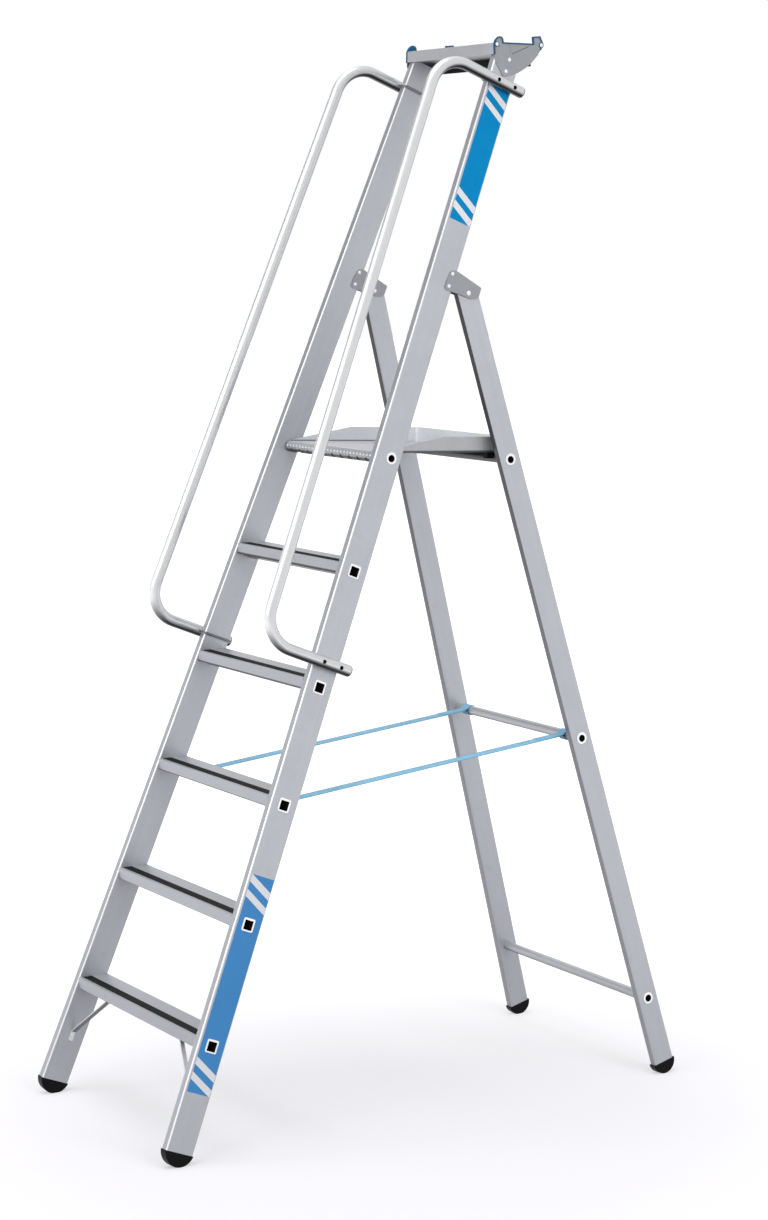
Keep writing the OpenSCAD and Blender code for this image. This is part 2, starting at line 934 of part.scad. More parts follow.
module rail_plugs() {
    color(grey_plastic)
        for (side = sides)
            at_rail_ends(side)
                translate([0, rail_end, 0])
                    rotate([-90, 0, 0]) {
                        cylinder(r1 = rail_r, r2 = rail_r - plug_head / 2, h = plug_head);
                        translate([0, 0, -plug_depth])
                            cylinder(r = rail_r - rail_wall - seat_gap, h = plug_depth);
                    }
}

// Screws inside the rail's ends that hold it to the stile
module rail_screws() {
    seat = -rail_r + rail_wall + screw_rise;
    color(bright_steel)
        for (side = sides)
            at_rail_ends(side)
                for (back = rail_hole_backs)
                    translate([seat, back, 0])
                        rotate([0, 90, 0]) {
                            cylinder(r = screw_head_r, h = screw_head);
                            translate([0, 0, -rail_wall - screw_rise - rail_seat - tube_wall])
                                cylinder(r = screw_r, h = rail_wall + screw_rise + rail_seat + tube_wall);
                        }
}

// Bent rod round a stile's inner face, with its two ends against the rail
module rail_clamp() {
    offset_x = stile_outer + clamp_r + seat_gap;
    offset_y = stile_back + clamp_r + seat_gap;
    translate([-offset_x, 0, 0])
        rotate([90, 0, 0])
            cylinder(r = clamp_r, h = 2 * (offset_y - clamp_bend), center = true);
    for (face = [0, 1])
        mirror([0, face, 0]) {
            translate([-offset_x + clamp_bend, offset_y, 0])
                rotate([0, 90, 0])
                    cylinder(r = clamp_r, h = offset_x - clamp_bend + stile_outer);
            translate([-offset_x + clamp_bend, offset_y - clamp_bend, 0])
                rotate(90)
                    rotate_extrude(angle = 90)
                        translate([clamp_bend, 0])
                            circle(clamp_r);
        }
}

module rail_clamps() {
    color(bright_steel)
        for (side = sides, up = [rail_low, rail_high])
            on_stile(side, up)
                rail_clamp();
}

// A place on the rear of the third spigot where a strap is riveted, with Z along the rivet
module at_strap_rivet(side) {
    in_front()
        translate([side * strap_side, spigot_size / 2, step_up(strap_step) + strap_rivet_rise])
            rotate([-90, 0, 0])
                children();
}

// Webbing from a tab on the third spigot to a loop round the middle rear tube
module strap(side) {
    tab = spigot_size - spigot_wall;
    tab_back = spigot_size / 2 + strap_thick / 2;
    start_up = step_up(strap_step) - tab / 2 + strap_thick / 2;
    start = [front_y(start_up, tab_back), front_z(start_up, tab_back)];
    finish = [rear_y(mid_tube), rear_z(mid_tube)];
    loop_r = cross_r + fold_gap;
    color(blue_web)
        difference() {
            on_side(side)
                stand()
                    translate([strap_side, 0, 0])
                        across(strap_width)
                            difference() {
                                union() {
                                    strip([start, finish], strap_thick);
                                    translate(finish)
                                        circle(loop_r + strap_thick / 2);
                                    rotate(-stile_lean)
                                        translate([tab_back, step_up(strap_step)])
                                            square([strap_thick, tab], center = true);
                                }
                                translate(finish)
                                    circle(loop_r);
                            }
            in_front()
                translate([0, 0, step_up(strap_step)])
                    cube([beyond, spigot_size, beyond], center = true);
            at_strap_rivet(side)
                cylinder(r = rivet_r + seat_gap, h = 2 * rivet_grip, center = true);
        }
}

module strap_rivets() {
    color(bright_steel)
        for (side = sides)
            at_strap_rivet(side)
                translate([0, 0, strap_thick])
                    rotate([0, -90, 0])
                        rivet(strap_thick + spigot_wall);
}

module leg(side) {
    top = leg_reach;
    color(aluminium)
        difference() {
            intersection() {
                on_leg(side, leg_cut)
                    linear_extrude((leg_reach + leg_depth - leg_cut) / cos(leg_tilt))
                        tube_section(leg_width, leg_depth);
                in_rear()
                    union() {
                        translate([0, 0, top])
                            bar(leg_depth / 2, beyond);
                        translate([-beyond / 2, -beyond / 2, top - beyond])
                            cube(beyond);
                    }
            }
            in_rear()
                translate([0, 0, top])
                    bar(pin_r + turn_gap, beyond);
            for (up = [low_tube, mid_tube, top_tube])
                in_rear()
                    translate([0, 0, up])
                        bar(cross_r + seat_gap, beyond);
        }
}

module rear_tube(up) {
    color(aluminium)
        difference() {
            union() {
                in_rear()
                    intersection() {
                        translate([0, 0, up])
                            bar(cross_r, 2 * front_width);
                        between_legs(leg_width / 2 + rim_thick / 2, up);
                    }
                for (side = sides)
                    on_leg(side, up)
                        translate([leg_width / 2 + rim_thick / 2, 0, 0])
                            bar(cross_rim_r, rim_thick);
            }
            in_rear()
                translate([0, 0, up])
                    bar(cross_r - cross_wall, beyond);
        }
}

// Folded platform sheet: rolled front edge with knuckles, flat deck, ramped side cheeks and rear flange
module platform_deck() {
    cheek_end = deck_length - hook_lip;
    color(aluminium)
        difference() {
            in_deck() {
                difference() {
                    bar(deck_top, 2 * deck_half_front);
                    bar(curl_r, beyond);
                    translate([-beyond / 2, 0, -curl_r * curl_lip_share])
                        cube([beyond, beyond, beyond]);
                    for (i = [0 : knuckles - 1])
                        translate([(i - (knuckles - 1) / 2) * knuckle_pitch, 0, -deck_top])
                            cube([knuckle_gap, beyond, deck_top * 2 * curl_lip_share], center = true);
                }
                translate([0, 0, curl_r])
                    linear_extrude(deck_thick)
                        polygon([[-deck_half(0), 0], [deck_half(0), 0],
                            [deck_half(deck_length), deck_length], [-deck_half(deck_length), deck_length]]);
                for (side = sides)
                    on_side(side)
                        translate([deck_half_front, 0, curl_r])
                            rotate([0, 0, stile_tilt])
                                translate([-deck_thick, 0, 0])
                                    outward(deck_thick)
                                        polygon([[0, 0], [0, cheek_nose], [cheek_ramp, cheek_height],
                                            [cheek_end, cheek_height], [deck_length, cheek_height / 2],
                                            [deck_length, 0]]);
            }
            for (side = sides)
                at_hook_rivet(side)
                    cylinder(r = rivet_r + seat_gap, h = 4 * hook_seat, center = true);
        }
}

// Middle of a hook block, across the platform
function hook_x() = deck_half(deck_length) - deck_thick - hook_width / 2;

// A place on the platform's underside in the middle of a hook's front block
module at_hook_rivet(side) {
    on_side(side)
        in_deck()
            translate([hook_x(), hook_y - hook_mouth - hook_front / 2, curl_r])
                children();
}

// Plastic block under the platform that drops over the top rear tube
module platform_hook(side) {
    lip_y = hook_y + cross_r + fold_gap;
    front_y = hook_y - hook_mouth - hook_front;
    color(black_plastic)
        difference() {
            on_side(side)
                in_deck()
                    translate([hook_x(), 0, 0])
                        across(hook_width)
                            difference() {
                                translate([front_y, -hook_drop + hook_z])
                                    square([lip_y + hook_lip - front_y, curl_r - hook_z + hook_drop]);
                                translate([hook_y, hook_z])
                                    circle(cross_r + fold_gap);
                                translate([hook_y - hook_mouth, hook_z - 2 * hook_drop])
                                    square([hook_mouth + cross_r + fold_gap, 2 * hook_drop]);
                                translate([hook_y - hook_mouth, hook_z])
                                    square([hook_mouth, cross_r + fold_gap]);
                                translate([front_y - over, hook_z - 2 * hook_drop])
                                    square([hook_mouth + hook_front + over, 2 * hook_drop]);
                            }
            at_hook_rivet(side)
                cylinder(r = rivet_r + seat_gap, h = 2 * beyond, center = true);
        }
}

module hook_rivets() {
    color(bright_steel)
        for (side = sides)
            at_hook_rivet(side)
                translate([0, 0, deck_thick])
                    rotate([0, -90, 0])
                        rivet(deck_thick + rivet_grip);
}

stile(left);  // stile_left
stile(right);  // stile_right
for (i = [1 : step_count]) {
    step(i);
    grip(i);
}
brace(left);  // brace_left
brace(right);  // brace_right
brace_rivets();
platform_tube();
front_foot(left);  // front_foot_left
front_foot(right);  // front_foot_right
hinge_outer(left);  // hinge_outer_left
hinge_inner(left);  // hinge_inner_left
hinge_outer(right);  // hinge_outer_right
hinge_inner(right);  // hinge_inner_right
hinge_rivets();
pivot_pin(left);  // pivot_pin_left
pivot_pin(right);  // pivot_pin_right
tray_pan();
tray_side(left);  // tray_side_left
tray_side(right);  // tray_side_right
tray_trim(left);  // tray_trim_left
tray_trim(right);  // tray_trim_right
tray_rivets();
handrail(left);  // handrail_left
handrail(right);  // handrail_right
rail_plugs();
rail_clamps();
rail_screws();
strap(left);  // strap_left
strap(right);  // strap_right
strap_rivets();
leg(left);  // leg_left
leg(right);  // leg_right
rear_tube(top_tube);  // rear_tube_top
rear_tube(mid_tube);  // rear_tube_mid
rear_tube(low_tube);  // rear_tube_low
rear_foot(left);  // rear_foot_left
rear_foot(right);  // rear_foot_right
platform_deck();
platform_hook(left);  // platform_hook_left
platform_hook(right);  // platform_hook_right
hook_rivets();
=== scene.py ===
import math

import bmesh
import bpy
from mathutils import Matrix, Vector


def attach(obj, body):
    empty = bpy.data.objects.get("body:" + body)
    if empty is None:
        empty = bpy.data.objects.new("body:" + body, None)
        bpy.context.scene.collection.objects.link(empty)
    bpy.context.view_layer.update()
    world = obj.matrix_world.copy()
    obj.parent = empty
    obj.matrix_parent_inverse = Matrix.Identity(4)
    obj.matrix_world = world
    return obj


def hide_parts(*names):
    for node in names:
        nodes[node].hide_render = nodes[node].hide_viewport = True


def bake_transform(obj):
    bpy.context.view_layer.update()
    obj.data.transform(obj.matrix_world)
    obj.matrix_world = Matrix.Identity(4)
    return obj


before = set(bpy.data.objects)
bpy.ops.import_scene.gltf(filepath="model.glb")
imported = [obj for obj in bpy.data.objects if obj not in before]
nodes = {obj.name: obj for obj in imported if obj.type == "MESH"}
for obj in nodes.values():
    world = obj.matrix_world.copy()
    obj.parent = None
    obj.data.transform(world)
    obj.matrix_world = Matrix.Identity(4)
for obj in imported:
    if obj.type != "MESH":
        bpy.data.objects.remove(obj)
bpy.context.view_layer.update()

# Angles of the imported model
LEAN = math.radians(21.5)          # front frame, back from upright
TILT = math.radians(3.06)          # stiles, towards the middle
LEG_LEAN = math.radians(15.2)      # rear frame, forward from upright
LEG_TILT = math.radians(3.0)       # rear legs, towards the middle
DECK_SLOPE = math.radians(2.088)   # platform, down to the rear

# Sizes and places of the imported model, in metres
MIDDLE = 0.615848                  # the model's middle, behind the foot line of the stiles
STILE_HALF = 0.292486              # a stile's centre plane from the middle, at the floor
STILE_TAPER = 0.053458             # how far it comes in for each metre up the frame
STILE_FACE = 0.010                 # a stile's side faces from its centre plane
LEG_HALF = 0.191424                # a leg's centre plane from the middle, at the pivot
LEG_REACH = 1.794870               # the pivot's distance up the rear frame
LEG_FACE = 0.009                   # a leg's side faces from its centre plane
STEP_UPS = [0.247 + 0.25 * i for i in range(5)]  # the spigots' distances up the front frame
SPIGOT_HALF = 0.0115               # half of a spigot's outer size
SPIGOT_DARK = 0.0100               # its inside is painted dark as shade within this, just over half of its bore
LIP_DROP = 0.003                   # bottom of a tread's lip, below the spigot's centre
DECK_TUBE = (-0.060311, 1.390123)  # (y, z) of the tube that the platform turns on
DECK_TUBE_UP = 1.497               # its distance up the front frame
DECK_LENGTH = 0.3170               # from that tube to the platform's rear edge
DECK_TOP = 0.01223                 # just under the standing surface, above the tube's axis
DECK_HALF = 0.199445               # half of the platform's width at the tube
CHEEK_THICK = 0.0022               # sheet of the platform's cheeks
TUBE_DARK = 0.0078                 # a cross tube's inside is painted dark as shade within this, just over its bore
REAR_TUBES = {"rear_tube_low": (0.568890, 0.172740), "rear_tube_mid": (0.408690, 0.762360),
              "rear_tube_top": (0.242070, 1.375630)}
TRAY_FLOOR = 2.2420                # height of the tray pan's underside
TRAY_FRONT = 0.22835               # inside the sheet of the tray's front wall, along Y
STRAP_SIDE = 0.194                 # middle of a strap, from the model's middle
BORE_BLUR = 0.0001                 # half of the soft edge of the painted shade inside a tube
LIP_SHADE_LINES = (0.0005, 0.0009, 0.0022, 0.0038, 0.0054)  # heights of the painted shade lines low on the lips

# Axes of the leaning members
BACK = Vector((0, math.cos(LEAN), -math.sin(LEAN)))
UP_FRONT = Vector((0, math.sin(LEAN), math.cos(LEAN)))
LEG_BACK = Vector((0, math.cos(LEG_LEAN), math.sin(LEG_LEAN)))
UP_REAR = Vector((0, -math.sin(LEG_LEAN), math.cos(LEG_LEAN)))
DECK_BACK = Vector((0, math.cos(DECK_SLOPE), -math.sin(DECK_SLOPE)))
DECK_UP = Vector((0, math.sin(DECK_SLOPE), math.cos(DECK_SLOPE)))
ACROSS = Vector((1, 0, 0))
DEPTH = Vector((0, 1, 0))
RISE = Vector((0, 0, 1))
RIGHT_REAR = Vector((0.77, 0.64, 0.0))  # the side of the rails where shade is painted

# Colours
ALUMINIUM = (0.485, 0.497, 0.533, 1)
TUBE_METAL = (0.56, 0.57, 0.60, 1)
# Painted shade: the top rear tube, made dark for the shade under the platform
TOP_TUBE_SHADE = (0.070, 0.069, 0.070, 1)
# Painted light: braces made far paler than the other aluminium, for the light they catch
BRACE_PAINTED_LIGHT = (0.86, 0.87, 0.89, 1)
TRAY_METAL = (0.59, 0.60, 0.63, 1)
# Pale, so that with the painted shade in rail_metal the rails' front left is painted light
RAIL_METAL = (0.89, 0.895, 0.91, 1)
DECK_METAL = (0.60, 0.612, 0.635, 1)
# Painted light: the rear upstand made nearly white, for the light it catches
UPSTAND_PAINTED_LIGHT = (0.82, 0.83, 0.85, 1)
PLATE_METAL = (0.315, 0.324, 0.343, 1)
# Near white of the painted highlight on flared tube ends and rounded stile corners
HIGHLIGHT_WHITE = (0.97, 0.975, 0.985, 1)
# Near black of the painted shade inside open tubes and under the tray
HOLLOW_SHADE_BLACK = (0.012, 0.011, 0.011, 1)
RIVET_METAL = (0.92, 0.925, 0.93, 1)
ROD_METAL = (0.20, 0.203, 0.212, 1)
# Painted shade: the rail screws made nearly black, for the shade they sit in
SCREW_SHADE_DARK = (0.05, 0.05, 0.052, 1)
GRIP_BLACK = (0.008, 0.008, 0.0083, 1)
HOOK_BLACK = (0.007, 0.007, 0.0075, 1)
FOOT_BLACK = (0.0035, 0.0034, 0.0030, 1)
PLUG_GREY = (0.040, 0.040, 0.042, 1)
TRIM_BLUE = (0.010, 0.100, 0.220, 1)
WEB_BLUE = (0.290, 0.670, 0.940, 1)
FILM_LOW_BLUE = (0.075, 0.300, 0.660, 1)
FILM_HIGH_BLUE = (0.0, 0.275, 0.620, 1)
FILM_WHITE = (0.90, 0.91, 0.93, 1)
FLAG_GREY = (0.25, 0.25, 0.25, 1)

SIDES = ((-1, "left"), (1, "right"))


def up_stile(side):
    return (UP_FRONT * math.cos(TILT) - ACROSS * side * math.sin(TILT)).normalized()


def up_leg(side):
    return (UP_REAR * math.cos(LEG_TILT) - ACROSS * side * math.sin(LEG_TILT)).normalized()


def stile_half(s):
    """A stile's centre plane from the middle, at a distance up the front frame."""
    return STILE_HALF - STILE_TAPER * s


def front_point(s, o):
    """(y, z) of a place up the front frame (s) and behind its centre plane (o)."""
    y = o * math.cos(LEAN) + s * math.sin(LEAN) - MIDDLE
    return Vector((y, s * math.cos(LEAN) - o * math.sin(LEAN)))


def stile_point(side, s, o, out):
    """A place on a stile: up it, behind its centre line and out from its centre plane."""
    y, z = front_point(s + out * math.sin(TILT), o)
    return Vector((side * (stile_half(s) + out * math.cos(TILT)), y, z))


def put_in_scene(name, data):
    """A new object of a mesh, lamp or camera."""
    made = bpy.data.objects.new(name, data)
    bpy.context.collection.objects.link(made)
    return made


# Node-tree helpers
class Nodes:
    """A node tree, with short calls for the nodes used here."""

    def __init__(self, tree):
        self.tree = tree

    def node(self, kind, inputs=None, **settings):
        made = self.tree.nodes.new(kind)
        for key, value in settings.items():
            setattr(made, key, value)
        for key, value in (inputs or {}).items():
            self.put(made.inputs[key], value)
        return made

    def put(self, socket, value):
        if isinstance(value, bpy.types.NodeSocket):
            self.tree.links.new(value, socket)
        else:
            socket.default_value = value

    def math(self, operation, a, b=0.0, c=0.0):
        return self.node("ShaderNodeMath", {0: a, 1: b, 2: c}, operation=operation).outputs[0]

    def add(self, a, b):
        return self.math("ADD", a, b)

    def times(self, a, b):
        return self.math("MULTIPLY", a, b)

    def subtract(self, a, b):
        return self.math("SUBTRACT", a, b)

    def absolute(self, a):
        return self.math("ABSOLUTE", a)

    def vector_math(self, operation, a, b):
        return self.node("ShaderNodeVectorMath", {0: a, 1: tuple(b)}, operation=operation)

    def vector(self, x, y, z):
        return self.node("ShaderNodeCombineXYZ", {0: x, 1: y, 2: z}).outputs[0]

    def ramp(self, value, low, high, start=0.0, end=1.0):
        inputs = {"Value": value, "From Min": low, "From Max": high, "To Min": start, "To Max": end}
        return self.node("ShaderNodeMapRange", inputs, interpolation_type="SMOOTHSTEP").outputs["Result"]


class Tree(Nodes):
    """The nodes of a material of the object."""

    def __init__(self, name):
        self.material = bpy.data.materials.new(name)
        self.material.use_nodes = True
        super().__init__(self.material.node_tree)
        self.shader = self.tree.nodes["Principled BSDF"]
        spot = self.node("ShaderNodeTexCoord")
        self.place = spot.outputs["Object"]
        self.facing = spot.outputs["Normal"]

    def along(self, axis, origin=(0, 0, 0)):
        """Distance along an axis, from an origin."""
        moved = self.vector_math("SUBTRACT", self.place, origin).outputs[0]
        return self.vector_math("DOT_PRODUCT", moved, axis).outputs["Value"]

    def faces(self, axis):
        """How far the surface faces along an axis, from -1 to 1."""
        return self.vector_math("DOT_PRODUCT", self.facing, axis).outputs["Value"]

    def underside(self):
        """Share that is 1 on faces that point down."""
        return self.ramp(self.faces(RISE), -0.25, -0.85)

    def outward(self):
        """How far the surface faces away from the object's middle plane, from -1 to 1."""
        return self.times(self.faces(ACROSS), self.math("SIGN", self.along(ACROSS)))

    def beyond_face(self, origin, out, face):
        """Share that is 1 outside a side face, on both sides of the object."""
        starts, full = 0.00005, 0.0003
        parts = self.node("ShaderNodeSeparateXYZ", {0: self.place}).outputs
        mirrored = self.vector(self.absolute(parts[0]), parts[1], parts[2])
        moved = self.vector_math("SUBTRACT", mirrored, origin).outputs[0]
        reach = self.vector_math("DOT_PRODUCT", moved, out).outputs["Value"]
        return self.ramp(reach, face + starts, face + full)

    def uv(self, layer):
        """The two coordinates of a UV layer."""
        where = self.node("ShaderNodeUVMap", uv_map=layer).outputs["UV"]
        parts = self.node("ShaderNodeSeparateXYZ", {0: where}).outputs
        return parts[0], parts[1]

    def noise(self, where, scale, detail, rough=0.55):
        inputs = {"Vector": where, "Scale": scale, "Detail": detail, "Roughness": rough}
        return self.node("ShaderNodeTexNoise", inputs).outputs["Fac"]

    def stretched_noise(self, x, y, z, detail):
        """Noise whose scale differs by direction: each of x, y and z is a (distance, scale) pair."""
        return self.noise(self.vector(*(self.times(*pair) for pair in (x, y, z))), 1.0, detail)

    def centred(self, value, amount):
        """value - 0.5, scaled."""
        return self.math("MULTIPLY_ADD", value, amount, -0.5 * amount)

    def mix(self, share, a, b):
        """Colour a where the share is 0 and b where it is 1."""
        return self.node("ShaderNodeMix", {0: share, 6: a, 7: b}, data_type="RGBA").outputs[2]

    def shade(self, colour, gain):
        """colour times 1 + gain."""
        if not isinstance(colour, bpy.types.NodeSocket):
            colour = tuple(colour)[:3]
        inputs = {0: colour, "Scale": self.add(gain, 1.0)}
        return self.node("ShaderNodeVectorMath", inputs, operation="SCALE").outputs[0]

    def bump(self, height, distance, strength=1.0, normal=None):
        made = self.node("ShaderNodeBump", {"Height": height, "Distance": distance, "Strength": strength})
        if normal is not None:
            self.put(made.inputs["Normal"], normal)
        return made.outputs["Normal"]

    def soft_edges(self, radius):
        return self.node("ShaderNodeBevel", {"Radius": radius}, samples=4).outputs["Normal"]

    def finish(self, colour, roughness, normal, metallic=0.0, **sockets):
        self.put(self.shader.inputs["Base Color"], colour)
        self.put(self.shader.inputs["Roughness"], roughness)
        self.put(self.shader.inputs["Normal"], normal)
        self.shader.inputs["Metallic"].default_value = metallic
        for key, value in sockets.items():
            self.shader.inputs[key].default_value = value
        return self.material


def give(material, *names):
    """Puts a material on CAD nodes."""
    for name in names:
        mesh = nodes[name].data
        mesh.materials.clear()
        mesh.materials.append(material)


# Drawn aluminium
def extruded(name, along, across, tint=ALUMINIUM, rough=0.4, seed=0.0, blotch=0.16,
             hollow_shade=None, painted_highlight=None, painted_shade=None, underside_shade=0.0):
    """Drawn aluminium: die lines along the member, soft oxide patches, handling marks and fine grit.
    The optional masks paint shade, near black, inside an open tube, a near-white highlight on flared
    ends or rounded corners, and shade on a face; an amount paints shade on faces that point down."""
    t = Tree(name)
    u = t.along(along)
    v = t.along(across)
    w = t.along(Vector(along).cross(Vector(across)))

    def drawn(scale, slow, start):
        """Places whose pattern is fine across the member and slow along it."""
        return t.vector(t.times(v, scale), t.times(w, scale), t.math("MULTIPLY_ADD", u, slow, start))

    lines = t.noise(drawn(620.0, 1.6, seed), 1.0, detail=4.0, rough=0.6)
    streaks = t.noise(drawn(90.0, 2.4, seed + 3.0), 1.0, detail=3.0)
    shifted = t.vector(t.add(v, seed), t.add(w, seed * 0.7), u)
    patches = t.noise(shifted, 9.0, detail=5.0, rough=0.62)
    stains = t.ramp(t.noise(shifted, 33.0, detail=4.0, rough=0.65), 0.56, 0.78)
    grit = t.noise(shifted, 640.0, detail=2.0, rough=0.5)
    scratches = t.ramp(t.stretched_noise((v, 260.0), (w, 260.0), (u, 22.0), detail=2.0), 0.66, 0.74)
    gain = t.add(t.add(t.centred(lines, 0.10), t.centred(streaks, 0.10)),
                 t.add(t.centred(patches, blotch), t.centred(grit, 0.07)))
    gain = t.add(gain, t.add(t.times(stains, -0.07), t.times(scratches, 0.05)))
    colour = t.shade(tint, gain)
    roughness = t.add(t.add(t.centred(patches, 0.18), t.centred(lines, 0.12)), rough)
    # Painted shade on faces that point down.
    if underside_shade:
        colour = t.shade(colour, t.times(t.underside(), -underside_shade))
    # Painted shade on a face, where the mask gives it.
    if painted_shade:
        colour = t.shade(colour, t.times(painted_shade(t), -1.0))
    # Painted highlight: near white on flared ends or rounded corners.
    if painted_highlight:
        highlight_share = painted_highlight(t)
        colour = t.mix(highlight_share, colour, HIGHLIGHT_WHITE)
        roughness = t.math("MULTIPLY_ADD", highlight_share, -0.14, roughness)
    # Painted shade: the inside of an open tube made near black.
    if hollow_shade:
        inside = hollow_shade(t)
        colour = t.mix(inside, colour, HOLLOW_SHADE_BLACK)
        roughness = t.math("MAXIMUM", roughness, t.times(inside, 0.8))
    height = t.add(t.times(lines, 0.5), t.add(t.times(grit, 0.35), t.times(scratches, -0.4)))
    return t.finish(colour, roughness, t.bump(height, 0.00006, strength=0.8), metallic=0.4)


def square_bore(s):
    """The inside of a spigot, at a distance up the front frame, where shade is painted."""
    def inside(t):
        origin = (0, *front_point(s, 0))
        back = t.absolute(t.along(BACK, origin))
        up = t.absolute(t.along(UP_FRONT, origin))
        return t.ramp(t.math("MAXIMUM", back, up), SPIGOT_DARK + BORE_BLUR, SPIGOT_DARK - BORE_BLUR)
    return inside


def round_bore(y, z):
    """The inside of a cross tube, where shade is painted."""
    def inside(t):
        dy = t.along(DEPTH, (0, y, z))
        dz = t.along(RISE, (0, y, z))
        r = t.math("SQRT", t.add(t.times(dy, dy), t.times(dz, dz)))
        return t.ramp(r, TUBE_DARK + BORE_BLUR, TUBE_DARK - BORE_BLUR)
    return inside


def stile_rim(s):
    """The flared end of a tube outside a stile, where a highlight is painted."""
    y, z = front_point(s, 0)
    out = (math.cos(TILT), math.sin(TILT) * math.sin(LEAN), math.sin(TILT) * math.cos(LEAN))
    return lambda t: t.beyond_face((stile_half(s), y, z), out, STILE_FACE)


def leg_rim(y, z):
    """The flared end of a tube outside a rear leg, where a highlight is painted."""
    half = LEG_HALF + (LEG_REACH - z / math.cos(LEG_LEAN)) * math.tan(LEG_TILT)
    inward = math.sin(LEG_TILT)
    out = (math.cos(LEG_TILT), -inward * math.sin(LEG_LEAN), inward * math.cos(LEG_LEAN))
    return lambda t: t.beyond_face((half, y, z), out, LEG_FACE)


def stile_corner_highlight(t):
    """The rounded front corners of a stile, where a bright highlight is painted."""
    return t.ramp(t.math("MINIMUM", t.absolute(t.faces(ACROSS)), t.faces(-BACK)), 0.15, 0.42)


def tread_shade(s, line):
    """The top of a tread, with painted shade that deepens a little towards the right, and a line of
    painted shade low on its front lip, whose height is given."""
    bottom = front_point(s, 0).y - LIP_DROP
    darkest = 0.88

    def share(t):
        # Painted shade on the top, a little deeper towards the right.
        wear_and_shade = t.ramp(t.along(ACROSS), -0.25, 0.2, start=0.06, end=0.19)
        top = t.times(t.ramp(t.faces(RISE), 0.7, 0.95), wear_and_shade)
        # Painted shade: a dark line low on the lip's front face.
        low = t.ramp(t.along(RISE), bottom + line, bottom + line * 0.5, end=darkest)
        return t.math("MAXIMUM", top, t.times(t.ramp(t.faces(-DEPTH), 0.3, 0.7), low))
    return share


def leg_front_shade(side):
    """The front face of a rear leg, with painted shade that deepens the higher it is."""
    def share(t):
        higher = t.ramp(t.along(up_leg(side)), -0.1, 1.65, start=0.22, end=0.94)
        return t.times(t.ramp(t.faces(-LEG_BACK), 0.5, 0.9), higher)
    return share


def tray_underside_shade(t):
    """The underside of the tray, between its aprons, where shade is painted near black."""
    below = t.ramp(t.along(RISE), TRAY_FLOOR + 0.0005, TRAY_FLOOR - 0.0005)
    behind = t.ramp(t.along(DEPTH), TRAY_FRONT - 0.00035, TRAY_FRONT + 0.00035)
    return t.times(t.times(below, behind), t.ramp(t.faces(DEPTH), 0.5, 0.2))


for side, word in SIDES:
    give(extruded("stile_metal_" + word, up_stile(side), BACK, seed=2.0 + side, blotch=0.2,
                  painted_highlight=stile_corner_highlight), "stile_" + word)
    give(extruded("leg_metal_" + word, up_leg(side), LEG_BACK, seed=7.0 + side, blotch=0.18,
                  painted_shade=leg_front_shade(side)), "leg_" + word)
for i, (s, line) in enumerate(zip(STEP_UPS, LIP_SHADE_LINES)):
    give(extruded("step_metal_%d" % (i + 1), ACROSS, DEPTH, seed=11.0 + i, hollow_shade=square_bore(s),
                  painted_highlight=stile_rim(s), painted_shade=tread_shade(s, line), underside_shade=0.75), "step_%d" % (i + 1))
give(extruded("deck_tube_metal", ACROSS, DEPTH, seed=21.0, hollow_shade=round_bore(*DECK_TUBE),
              painted_highlight=stile_rim(DECK_TUBE_UP), underside_shade=0.6), "platform_tube")
for i, (name, place) in enumerate(REAR_TUBES.items()):
    # The top rear tube's dark colour is painted shade.
    tint = TOP_TUBE_SHADE if name == "rear_tube_top" else TUBE_METAL
    give(extruded(name + "_metal", ACROSS, DEPTH, tint, seed=24.0 + i, rough=0.34,
                  hollow_shade=round_bore(*place), painted_highlight=leg_rim(*place), underside_shade=0.6), name)
# The braces' pale colour is painted light, and their undersides get painted shade.
give(extruded("brace_metal", UP_FRONT, BACK, BRACE_PAINTED_LIGHT, seed=31.0, underside_shade=0.85),
     "brace_left", "brace_right")
give(extruded("tray_metal", ACROSS, RISE, TRAY_METAL, seed=33.0, blotch=0.14, hollow_shade=tray_underside_shade),
     "tray_pan")


# Handrails, platform sheet, plates and fasteners
def rail_metal():
    """Bright drawn tube: smoother, with faint draw lines and a few rubbed patches, and painted shade below
    and towards the right rear, which leaves its front left painted lighter."""
    t = Tree("rail_metal")
    lines = t.stretched_noise((t.along(BACK), 500.0), (t.along(ACROSS), 500.0),
                              (t.along(UP_FRONT), 3.0), detail=3.0)
    patches = t.noise(t.place, 12.0, detail=4.0)
    grit = t.noise(t.place, 800.0, detail=2.0)
    gain = t.add(t.centred(lines, 0.03), t.add(t.centred(patches, 0.08), t.centred(grit, 0.02)))
    # Painted shade below and towards the right rear; with the pale colour this paints the front left
    # lighter.
    below = t.times(t.ramp(t.faces(RISE), 0.0, -0.7), -0.75)
    side_shade = t.times(t.ramp(t.faces(RIGHT_REAR), -0.6, 0.6), -0.29)
    colour = t.shade(t.shade(RAIL_METAL, gain), t.add(below, side_shade))
    roughness = t.add(t.add(t.centred(patches, 0.08), t.centred(lines, 0.03)), 0.30)
    return t.finish(colour, roughness, t.bump(lines, 0.000004, strength=0.4), metallic=0.6)


